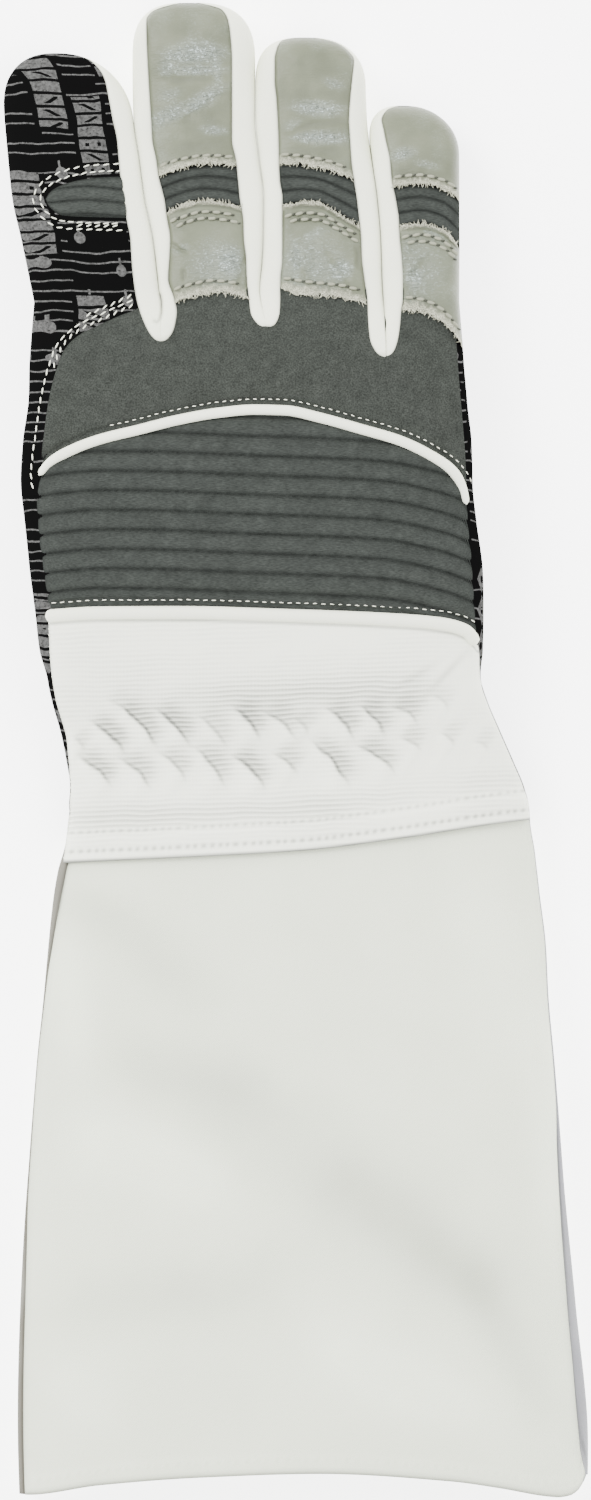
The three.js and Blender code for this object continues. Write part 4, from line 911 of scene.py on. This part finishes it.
# Painted shade on the outer half of the left sliver, from 112 mm up
outer = smooth((y - 112) / 12) * smooth((cuff_left(y) - 0.45 * left_strip(y) - x) / 0.25) * upper
across = np.clip((x - cuff_left(y)) / (cuff_right(y) - cuff_left(y)), 0, 1)
moved = y + (mouth(across) - 0.9) * (1 - t) ** 3 + 6.5 * across * smooth((t - 0.8) / 0.2)
x = sleeve_middle(moved) + (x - sleeve_middle(y)) * sleeve_half(moved) / sleeve_half(y)
y = moved
# Painted shade on the parts of the underside that show beside the back
rim_dark = np.maximum(smooth((z - edge(y) + 1.5) / 3.0), outer)
shade = np.clip(rim_dark * (0.92 + 0.08 * noise(x * 0.2, y, 9, 91)), 0, 1)
# fray here picks the right-hand sliver's tone of painted shade
marks = {"shade": shade, "fray": (x > 0) * 1.0}
build("cuff_underside_cloth", [(x, y, z, -1, marks)], "underside", ["cuff_underside"], CLOTH)

# Black printed cloth: palm, sides, undersides of the fingers and the whole index finger
index_right, middle_left, middle_right = curve(INDEX_RIGHT), curve(MIDDLE_LEFT), curve(MIDDLE_RIGHT)
ring_left, ring_right, little_left = curve(RING_LEFT), curve(RING_RIGHT), curve(LITTLE_LEFT)
# Edges of the other fingers' back panels. The little finger's goes round its outer side.
SIDES = {
    "middle": (middle_left, middle_right),
    "ring": (ring_left, ring_right),
    "little": (little_left, None),
}
parts = []
t = span(150, 1.0)[:, None]
y = 167.0 + (FREE - 167.0) * t
x, y, z = underside(y, panel_left(y) + 1.5, panel_right(y) - 1.5, steps(150, 1.0))[:3]
tucked = 1 - smooth((y - HEM - 6.0 - 0.06 * x) / 3.0)
x = x + (sleeve_middle(y) - x) * 0.06 * tucked
parts.append((x, y, z + (sleeve_edge(y) - z) * 0.3 * tucked, -1))
# The index finger's back goes down to the seam of the back panel
index_seam = [(311.2, -42.6), (313.4, -42.4)] + [(a, b + 0.9) for a, b in INDEX_RIGHT[1:]]
seam_right = curve(PANEL_LEFT[13:-1] + index_seam)
tip = FINGERS["index"][0]
y = 262.0 + (tip - 262.0) * to_tip(span(115, 0.45))[:, None]
middle, half = finger(0, y)[:2]
a = np.where(y < CROTCH, left_side(y), middle - half)
b = np.clip(seam_right(y), a, middle + half * 0.999)
s = round_ends(span(34, 0.5) * 0.5) * 2
x = a + (b - a) * s
y = np.broadcast_to(y, x.shape)
parts.append((x, y, surface(x, y, 1) + 0.1, 1))
parts.append((x, y, np.maximum(surface(x, y, -1), 0.05), -1))
# Undersides of the other fingers
for i, (left, right) in enumerate(SIDES.values(), 1):
    tip = FINGERS[NAMES[i]][0]
    y = FREE - 1 + (tip - FREE + 1) * to_tip(span(60, 0.8))[:, None]
    middle, half = finger(i, y)[:2]
    a = np.clip(left(y), middle - half, middle)
    b = middle + half if right is None else np.clip(right(y), middle, middle + half)
    x = a + (b - a) * round_ends(span(30, 0.8))
    y = np.broadcast_to(y, x.shape)
    parts.append((x, y, np.maximum(surface(x, y, -1), 0.05), -1))
build("palm_cloth", parts, "print", PALM_NODES)


def on_line(points, x, y, width):
    """1 on a line through the points, falling to 0 beside it over that width."""
    total = 0 * x
    for (x0, y0), (x1, y1) in zip(points, points[1:]):
        dx, dy = x1 - x0, y1 - y0
        share = np.clip(((x - x0) * dx + (y - y0) * dy) / (dx * dx + dy * dy), 0, 1)
        away = np.hypot(x - x0 - share * dx, y - y0 - share * dy)
        total = np.maximum(total, bell(away, width))
    return total


# White fourchettes: two legs each, up the facing sides of two fingers, joined in a rounded end
for k, (name, (left_rows, right_rows)) in enumerate(TONGUES.items()):
    parts = []
    start = left_rows[0][0]
    crease = CREASES[k]
    neighbour_end = min(FINGERS[NAMES[k]][0], FINGERS[NAMES[k + 1]][0])
    for side, outline, i in ((1, curve(left_rows), k), (-1, curve(right_rows), k + 1)):
        tip = FINGERS[NAMES[i]][0]
        count = steps(tip - start, 0.52)
        y = (start + (tip - start) * round_ends(np.linspace(0.0, 1, count)))[:, None]
        middle, half = finger(i, y)[:2]
        reach = smooth((y - FREE) / 6)
        inner = crease(y) * (1 - reach) + (middle + side * half) * reach
        outer = outline(y)
        outer = np.where(side * (inner - outer) < 0, inner, outer)
        s = np.sin(span(9, 0.3) * np.pi / 2)[None, :]
        x = outer + (inner - outer) * s
        yy = np.broadcast_to(y, x.shape)
        width = np.abs(inner - outer)
        from_border = np.minimum(s * width, (y - start) * 1.2)
        puff = 1.15 * np.sqrt(1 - (1 - np.clip(from_border / 2.0, 0, 1)) ** 2) * np.clip(width / 2.5, 0, 1)
        open_up = smooth((y - start - 2.5) / 14)
        depth = 0.05 + 1.7 * open_up
        held = 1 - smooth((y - neighbour_end + 21) / 13)
        border_height = surface(outer, y, 1)
        flat = border_height - depth * s**7 - 0.5 * open_up * s**2
        free = surface(x, yy, 1)
        ruck = 0.12 * noise(yy, x * 0.2 + k * 9, 4.5, 40 + k)
        hook = on_line(HOOK, x, yy, 0.42)
        z = held * flat + (1 - held) * free + puff + ruck + 0.1 - 0.5 * hook
        # Painted shade in the crease between the legs, along its hooked end and as a thin dark outline at the
        # seam
        line = held * s**24 * open_up
        dark = np.clip(0.6 * line + 0.42 * hook + 0.75 * (1 - np.clip(from_border / 0.4, 0, 1)), 0, 1) + 0 * z
        parts.append((x, yy, z, side, {"shade": dark}))
        foot = edge(y) + 0 * inner
        fall = np.linspace(0, 1, 5)[None, :]
        wall_z = z[:, -1:] * (1 - fall) + foot * fall
        wall_x = inner - side * 0.02 + 0 * fall
        # The inner walls get painted shade
        parts.append((wall_x, y + 0 * fall, wall_z, side, {"shade": 0.3 + 0 * wall_z}))
        low = surface(x, yy, -1) - 0.6 * puff
        parts.append((x, yy, np.maximum(low, 0.05), -side))
    build(name + "_cloth", parts, "fourchette", [name])

# Leather tips and bands with raw edges, and the ribbed strips between them, on the three outer fingers
stitches = {"white_thread": [], "grey_thread": [], "hole": []}


def border_curves(name):
    """Side edges of a finger's back panels, kept inside the finger's outline."""
    i = NAMES.index(name)
    left, right = SIDES[name]

    def left_edge(y):
        middle, half = finger(i, y)[:2]
        return np.clip(left(y) - 0.1, middle - half + np.minimum(0.5, half * 0.3), middle)

    def right_edge(y):
        middle, half = finger(i, y)[:2]
        if right is None:
            return middle + half * 0.998
        return np.clip(right(y) + 0.1, middle, middle + half - np.minimum(0.5, half * 0.3))

    return left_edge, right_edge


def ragged(x, seed):
    """How far a raw edge is out of line."""
    return 0.45 * noise(x, 0 * x, 0.5, seed) + 0.4 * noise(x, 0 * x, 1.7, seed + 1)


def glint(x, y):
    """How wrinkled the leather is and how strong its painted pearl-like highlight is, from 0 to 1."""
    total = 0 * x
    for x0, y0, wide, tall, turn, strength in WRINKLES:
        c, s = np.cos(np.radians(turn)), np.sin(np.radians(turn))
        a = ((x - x0) * c + (y - y0) * s) / wide
        b = ((y - y0) * c - (x - x0) * s) / tall
        total = np.maximum(total, strength * np.exp(-((a * a + b * b) ** 1.3)))
    return np.clip(total + 0.1 * np.maximum(0, noise(x, y, 4, 77)), 0, 1)


# Soft folds of the leather: ends, width and depth. The depth also paints shade into the leather, and a
# highlight where it is below 0.
LEATHER_FOLDS = [
    (-35, 377, -28.5, 381, 1.6, -0.5), (-28.5, 381, -20.5, 378, 1.6, -0.5),
    (-35.5, 371, -19.5, 371.8, 0.9, 0.45), (-36, 358.5, -28, 362, 1, 0.4), (-28, 362, -19.5, 367.5, 1, 0.4),
    (-35, 353, -20, 354, 1.2, 0.25), (-4, 356.5, 3, 359.5, 0.9, 0.35), (3, 359.5, 13, 360, 0.9, 0.35),
    (-3.5, 352.5, 12, 352, 1.1, 0.25), (23, 347, 36, 345.5, 1, 0.25),
    (-33.5, 327.5, -29.5, 325.5, 0.6, 0.7), (-30.5, 321, -30, 318.5, 0.6, 0.5),
    (-16.5, 317.5, -13.8, 325, 0.8, 0.5), (-2.5, 326.5, 2.5, 317, 1, 0.5), (7, 326, 12.5, 317.5, 1, 0.5),
    (15.8, 322, 15, 327, 0.8, 0.6), (27.5, 316, 33, 324, 1, 0.5),
]


def wrinkles(x, y, seed):
    bend = 1.2 * noise(x, y, 5, seed)
    cross = 1 - np.abs(noise(x * 0.6 + bend, y * 1.1 + bend, 1.8, seed + 1))
    small = 1 - np.abs(noise(x * 0.9 - bend, y * 1.2, 1.0, seed + 2))
    return -(0.5 * cross**4 + 0.3 * small**4)


def sew_edge(left_edge, right_edge, base, offset, phase, pitch=2.9):
    """A row of long stitches, and between each two a dark capsule that paints the shade in the needle hole.
    """
    s = np.linspace(0.02, 0.98, 60)
    y = base(s) + offset
    x = left_edge(y) + (right_edge(y) - left_edge(y)) * s
    stitches["grey_thread"].append((x, y, 0.98, 2.0, pitch, phase, 0.14, 1.0))
    stitches["hole"].append((x, y, 0.95, 0.75, pitch, phase + 2.08, 0.3, 1.0))


fibres = []
loose = np.random.default_rng(11)


def fringe(left_edge, right_edge, base, way, pitch=0.33):
    """Short loose fibres that stick out of a raw leather edge."""
    for s in np.arange(0.03, 0.98, pitch / 20):
        s = s + loose.uniform(-0.01, 0.01)
        y = float(base(s))
        x = float(left_edge(y) + (right_edge(y) - left_edge(y)) * s)
        turn, long = loose.uniform(-1.1, 1.1), loose.uniform(0.6, 1.7)
        step = np.array([np.sin(turn), way * np.cos(turn)]) * long
        root = np.array([x, y - 0.5 * way])
        bow = np.array([step[1], -step[0]]) * loose.uniform(-0.3, 0.3)
        fibres.append((root, root + step / 2 + bow, root + step, loose.uniform(0.9, 1.5)))


FINGER_WIDTH = 24.0


def leather(name, node, x, y, s, fray, fold, raised, swell, seeds):
    """A piece of leather. raised lifts its frayed parts, and swell is the size of its soft waves."""
    wrinkle_seed, nap_seed, swell_seed = seeds
    glint_and_wrinkles = glint(x, y) * (1 - fray)
    dents = folds(LEATHER_FOLDS, x, y, 1.8, 0.4 * noise(x, y, 2.5, 29)) * (1 - fray)
    side = rim(s, 0.5, FINGER_WIDTH, 100, 1.1)
    z = surface(x, y, 1) + 0.7 * side + wrinkles(x, y, wrinkle_seed) * side * glint_and_wrinkles - 0.8 * dents * side
    z = z + (raised * fray - 0.3 * fold) * side + fray * 0.3 * noise(x, y, 0.5, nap_seed)
    z = z + 0.3 * octaves(x, y, swell, swell_seed) * side
    # Painted light: a pearl-like highlight on the wrinkled places, shade in the folds and a dark line along a
    # band's folded top
    marks = {"fray": fray * (1 - fold), "shade": glint_and_wrinkles - 0.6 * np.clip(dents, -0.3, 1) - 0.5 * fold}
    build(name, [(x, y, z, 1, marks)], "leather", [node])


for n, (name, seams) in enumerate(FINGER_SEAMS.items()):
    tip = FINGERS[name][0]
    left_edge, right_edge = border_curves(name)
    tip_line, top_line, low_line = (curve(seams[key]) for key in ("tip", "top", "low"))
    columns = steps(FINGER_WIDTH, 0.22)
    # Tip leather
    x, y, s, t = between(
        tip_line, lambda s: tip - 0.3 + 0 * s, left_edge, right_edge, columns, steps(44, 0.25), to_tip
    )
    y = y - ragged(x + 3, 50 + n) * (1 - t) ** 30 * (t < 0.2)
    fray = 1 - smooth((y - tip_line(s)) / 2.1 - 0.1 + 0.3 * noise(x, y, 0.7, 60 + n))
    seeds = 70 + n, 65, 67 + n
    leather(f"{name}_tip_leather", f"{name}_tip", x, y, s, fray, 0.0, 0.35, 9, seeds)
    # Ribbed strip
    x, y, s, t = between(
        lift(top_line, -2.0), lift(tip_line, 1.5), left_edge, right_edge, columns, steps(14, 0.2)
    )
    along = np.clip((y - top_line(s)) / (tip_line(s) - top_line(s)), 0, 1)
    wave = np.abs(np.sin(np.pi * along * 3))
    side = rim(s, 0.5, FINGER_WIDTH, 100, 1.0)
    z = surface(x, y, 1) + (1.0 * wave**0.5 - 0.5) * side
    under = smooth((along - 0.84) / 0.12) + smooth((0.1 - along) / 0.1)
    # Painted shade in the grooves, under both leather edges and along the sides, growing towards the tip
    # leather
    dark = np.clip(0.6 * (1 - wave) ** 2.5 + 0.4 * under + 0.35 * (1 - side) + 0.12 * along, 0, 1)
    strip = build(f"{name}_ribs_cloth", [(x, y, z, 1, {"shade": dark})], "ribbed", [f"{name}_ribs"])
    # Lower leather band, folded in along its top
    x, y, s, t = between(low_line, top_line, left_edge, right_edge, columns, steps(26, 0.22))
    y = y - ragged(x, 80 + n) * (1 - t) ** 12 + ragged(x, 90 + n) * t**14
    below, above = y - low_line(s), top_line(s) - y
    rough = 0.3 * noise(x, y, 0.7, 95 + n)
    fray = np.maximum(1 - smooth(below / 2.6 - 0.1 + rough), 1 - smooth(above / 1.15 - 0.15 + rough))
    fold = bell(above - 1.3, 0.24) * smooth(s * 4 - 0.1)
    seeds = 100 + n, 66, 167 + n
    leather(f"{name}_band_leather", f"{name}_band", x, y, s, fray, fold, 0.4, 8, seeds)
    for base, offset, phase in (
        (tip_line, 2.3, 0.3), (top_line, -2.9, 0.2), (top_line, -4.6, 1.6), (low_line, 3.2, 0.4)
    ):
        sew_edge(left_edge, right_edge, base, offset, phase)
    for base, way in ((tip_line, -1), (top_line, 1), (low_line, -1)):
        fringe(left_edge, right_edge, base, way)

# Ribbed inset on the index finger's knuckle, with columns that start at its left end
INSET_LEFT = -66.5
inset_high, inset_low = curve(INSET_HIGH), curve(INSET_LOW)
x = INSET_LEFT + 21.0 * span(21, 0.25) ** 1.5
t = span(11, 0.2)[:, None]
y = inset_low(x) + (inset_high(x) - inset_low(x)) * t
x = np.minimum(np.broadcast_to(x, y.shape), index_right(y) + 0.4)
height = inset_high(x) - inset_low(x)
level = (y - 335.0 - 0.9 * bell(x + 56, 7)) / 10.6
wave = np.abs(np.sin(np.pi * np.clip(level, 0, 1) * 3))
border = 1 - (1 - np.clip(np.minimum(t, 1 - t) * height / 1.2, 0, 1)) ** 2
z = surface(x, y, 1) + 0.2 + 0.95 * wave**0.5 * border
# Painted shade in the grooves and along the edges
dark = np.clip(0.55 * (1 - wave) ** 2.5 * border + 0.7 * (1 - border), 0, 1)
inset = build("index_knuckle_ribs", [(x, y, z, 1, {"shade": dark})], "ribbed", ["index_knuckle_inset"])


def densify(points, pitch=0.6):
    """A smooth line through the points, with a point at every pitch."""
    p = np.array(points, float)
    far = np.concatenate([[0], np.cumsum(np.linalg.norm(np.diff(p, axis=0), axis=1))])
    at = np.linspace(0, far[-1], max(4, int(far[-1] / pitch)))
    fx, fy = curve(list(zip(far, p[:, 0]))), curve(list(zip(far, p[:, 1])))
    return np.stack([fx(at), fy(at)], 1)


def unit(rows):
    return rows / np.linalg.norm(rows, axis=1)[:, None]


def beside(points, distance):
    """The same line moved to its right by a distance."""
    d = unit(np.gradient(points, axis=0))
    return points + distance * np.stack([d[:, 1], -d[:, 0]], 1)


def sew_line(points, distance, above, length, pitch, wave=0.0, phase=0.5, thick=1.0):
    """A row of stitches beside a line, above the surface by that much. wave turns them aside."""
    row = beside(points, distance)
    stitches["white_thread"].append((row[:, 0], row[:, 1], above, length, pitch, phase, wave, thick))


around = densify(INSET_HIGH[::-1] + INSET_LOW[1:])
for distance, pitch, phase in ((1.5, 2.3, 0.4), (3.3, 2.6, 1.1)):
    sew_line(around, distance, 0.2, 1.6, pitch, 0.12, phase)
sew_line(around[-22:], 2.2, 0.2, 1.3, 2.3, 0.3, 0.9)
seam_line = densify(SEAM + [(-68.1, 267.5), (-67.5, 263.0)])
sew_line(seam_line, 2.1, 0.2, 1.7, 2.5, 0.1)
sew_line(seam_line[: len(seam_line) // 2], 0.8, 0.2, 1.3, 2.2, 0.3, 0.9)
sew_line(seam_line[: len(seam_line) // 4], 3.3, 0.2, 1.5, 2.3, 0.3, 0.2)
arch_line = densify(ARCH)
sew_line(arch_line[36:-8], -2.75, 0.45, 1.0, 2.0, 0.0, 0.5, 0.72)
wrist_line = densify(WRIST)
sew_line(wrist_line[2:-4], -3.3, 0.5, 1.2, 2.2, 0.0, 0.5, 0.72)
knit_edge = densify([(b, a) for a, b in PANEL_LEFT[:9]])
sew_line(knit_edge, 0.35, 0.35, 0.8, 1.55, 0.35)


TUBE_SIDES = 16


def tube(name, points, radius, nodes, ends=1.0):
    """A half-sunk cord along a line, tapering to a share of its radius at its ends."""
    p = densify(points, 0.7)
    path = np.column_stack([p, surface(p[:, 0], p[:, 1], 1) + radius * 0.5])
    along = unit(np.gradient(path, axis=0))
    side = unit(np.cross(along, [0, 0, 1.0]))
    up = np.cross(side, along)
    angle = np.linspace(0, 2 * np.pi, TUBE_SIDES + 1)[None, :, None]
    count = np.arange(len(p))
    near = 0.7 * np.minimum(count, count[::-1])
    taper = ends + (1 - ends) * smooth(near / 9)
    taper *= np.sqrt(1 - (1 - np.clip(near / 1.4, 0.02, 1)) ** 2)
    ring = radius * taper[:, None, None] * (np.cos(angle) * side[:, None] + np.sin(angle) * up[:, None])
    g = path[:, None] + ring
    build(name, [(g[..., 0], g[..., 1], g[..., 2], -1)], "piping", nodes)


tube("arch_piping_cord", ARCH, 1.35, ["arch_piping"], 0.68)
tube("wrist_piping_cord", WRIST, 1.7, ["wrist_piping"])

# Stitches: short rounded lengths of thread. The profile holds places along one, and its thickness there.
THREAD_SIDES = 6
THREAD_PROFILE = np.array([(-0.5, 0.35), (-0.34, 0.95), (0.0, 1.1), (0.34, 0.95), (0.5, 0.35)])


def sew(name, rows, look, radius):
    points, faces = [], []
    angle = np.linspace(0, 2 * np.pi, THREAD_SIDES, endpoint=False)
    start = 0
    uneven = np.random.default_rng(5)
    for x, y, above, length, pitch, phase, wave, thick in rows:
        d = np.concatenate([[0], np.cumsum(np.hypot(np.diff(x), np.diff(y)))])
        for m in np.arange(phase, d[-1] - length, pitch):
            a = np.array([np.interp(m, d, x), np.interp(m, d, y)])
            b = np.array([np.interp(m + length, d, x), np.interp(m + length, d, y)])
            way = b - a
            across = np.array([-way[1], way[0]]) / max(np.linalg.norm(way), 1e-6)
            shift, turn = uneven.uniform(-0.06, 0.06), wave + uneven.uniform(-0.07, 0.07)
            a, b = a + across * (shift - turn), b + across * (shift + turn)
            ends = np.array([a, b])
            heights = surface(ends[:, 0], ends[:, 1], 1) + above
            p, q = np.array([*a, heights[0]]), np.array([*b, heights[1]])
            along = q - p
            size = np.linalg.norm(along)
            along /= size
            side = np.cross(along, [0, 0, 1.0])
            side /= np.linalg.norm(side)
            up = np.cross(side, along)
            for f, r in THREAD_PROFILE:
                c = (p + q) / 2 + along * size * f + up * (0.12 - 0.5 * f * f)
                out = np.cos(angle)[:, None] * side + np.sin(angle)[:, None] * up
                points.append(c + radius * thick * r * out)
            last = start + (len(THREAD_PROFILE) - 1) * THREAD_SIDES
            for a0 in range(start, last, THREAD_SIDES):
                for k in range(THREAD_SIDES):
                    k2 = (k + 1) % THREAD_SIDES
                    faces.append((a0 + k, a0 + k2, a0 + THREAD_SIDES + k2, a0 + THREAD_SIDES + k))
            faces.append(tuple(range(start, start + THREAD_SIDES))[::-1])
            faces.append(tuple(range(last, last + THREAD_SIDES)))
            start += len(THREAD_PROFILE) * THREAD_SIDES
    mesh = bpy.data.meshes.new(name)
    mesh.from_pydata(((np.concatenate(points) - ORIGIN) * MM).tolist(), [], faces)
    mesh.polygons.foreach_set("use_smooth", np.ones(len(faces), bool))
    place(name, mesh, look)


sew("white_stitches", stitches["white_thread"], "white_thread", 0.18)
sew("leather_stitches", stitches["grey_thread"], "grey_thread", 0.42)
# Loose fibres: flat bent strips
parts = []
for root, knee, end, above in fibres:
    path = np.array([root, (root + knee) / 2, knee, (knee + end) / 2, end])
    d = unit(np.gradient(path, axis=0))
    side = np.column_stack([-d[:, 1], d[:, 0]]) * np.array([0.13, 0.12, 0.1, 0.08, 0.03])[:, None]
    x, y = (np.stack([path[:, k] - side[:, k], path[:, k] + side[:, k]], 1) for k in (0, 1))
    z = surface(x, y, 1) + above + 0.1 * np.array([[-0.5, 0.5]])
    parts.append((x, y, z, 1, {"fray": 1.0}))
build("frayed_fibres", parts, "leather")
# Needle holes: dark capsules that paint the shade inside them
sew("needle_holes", stitches["hole"], "hole", 0.24)

# Thumb: a flat pouch tucked under the palm
wide, tall = curve([(a, b) for a, b, c in THUMB]), curve([(a, c) for a, b, c in THUMB])
turn = np.radians(THUMB_ANGLE)
along = round_ends(span(86, 0.9))[:, None]
angle = np.linspace(0, 2 * np.pi, steps(80, 1.0))[None, :]
half = wide(along) * THUMB_WIDTH / 2
c, s = np.cos(angle), np.sin(angle)
across = half * np.sign(c) * np.abs(c) ** (2 / 2.6)
z = tall(along) * THUMB_HEIGHT / 2 * (1 + np.clip(1.03 * np.sign(s) * np.abs(s) ** (2 / 3), -1, 1))
far = (along - THUMB_MOUTH_AT) * THUMB_LENGTH
x = THUMB_ROOT[0] + far * np.cos(turn) - across * np.sin(turn)
y = THUMB_ROOT[1] + far * np.sin(turn) + across * np.cos(turn)
build("thumb_cloth", [(x, y, np.maximum(z, 0.03), 1)], "print", ["thumb"])

# Stage: a white floor, a white sky, two softboxes and the camera straight above
FLOOR_HALF, FLOOR_SINK, PAPER_GLOW, SKY_GLOW = 3, 0.0002, 3.6, 2.66
corners = [(x * FLOOR_HALF, y * FLOOR_HALF, 0) for x, y in ((-1, -1), (1, -1), (1, 1), (-1, 1))]
floor_mesh = bpy.data.meshes.new("floor")
floor_mesh.from_pydata(corners, [], [(0, 1, 2, 3)])
floor = add("floor", floor_mesh)
floor.location.z = -FLOOR_SINK
paper = bpy.data.materials.new("paper")
paper.use_nodes = True
paper_shader = paper.node_tree.nodes["Principled BSDF"].inputs
paper_shader["Base Color"].default_value = (0.94, 0.94, 0.94, 1)
paper_shader["Roughness"].default_value = 1.0
paper_shader["Emission Color"].default_value = (1, 1, 1, 1)
paper_shader["Emission Strength"].default_value = PAPER_GLOW
floor_mesh.materials.append(paper)

world = bpy.data.worlds.new("studio")
bpy.context.scene.world = world
world.use_nodes = True
sky = world.node_tree.nodes["Background"].inputs
sky["Color"].default_value = (1, 1, 1, 1)
sky["Strength"].default_value = SKY_GLOW


def softbox(name, spot, size, power):
    """A rectangular light that points at the origin."""
    light = bpy.data.lights.new(name, "AREA")
    light.shape = "RECTANGLE"
    light.size, light.size_y = size
    light.energy = power
    lamp = add(name, light)
    lamp.location = spot
    lamp.rotation_euler = Vector(spot).to_track_quat("Z", "Y").to_euler()


softbox("softbox_left", (-0.75, 0.75, 1.2), (0.7, 0.7), 36.0)
softbox("softbox_right", (0.8, 0.1, 1.3), (0.8, 0.8), 11.0)

# The camera: focal length and sensor width in mm, and its place
FOCAL_LENGTH, SENSOR_WIDTH, CAMERA_PLACE = 400, 36, (-0.0002, -0.0001, 4.38)
lens = bpy.data.cameras.new("camera")
lens.lens = FOCAL_LENGTH
lens.sensor_width = SENSOR_WIDTH
lens.clip_end = 20
camera = add("camera", lens)
camera.location = CAMERA_PLACE
bpy.context.scene.camera = camera
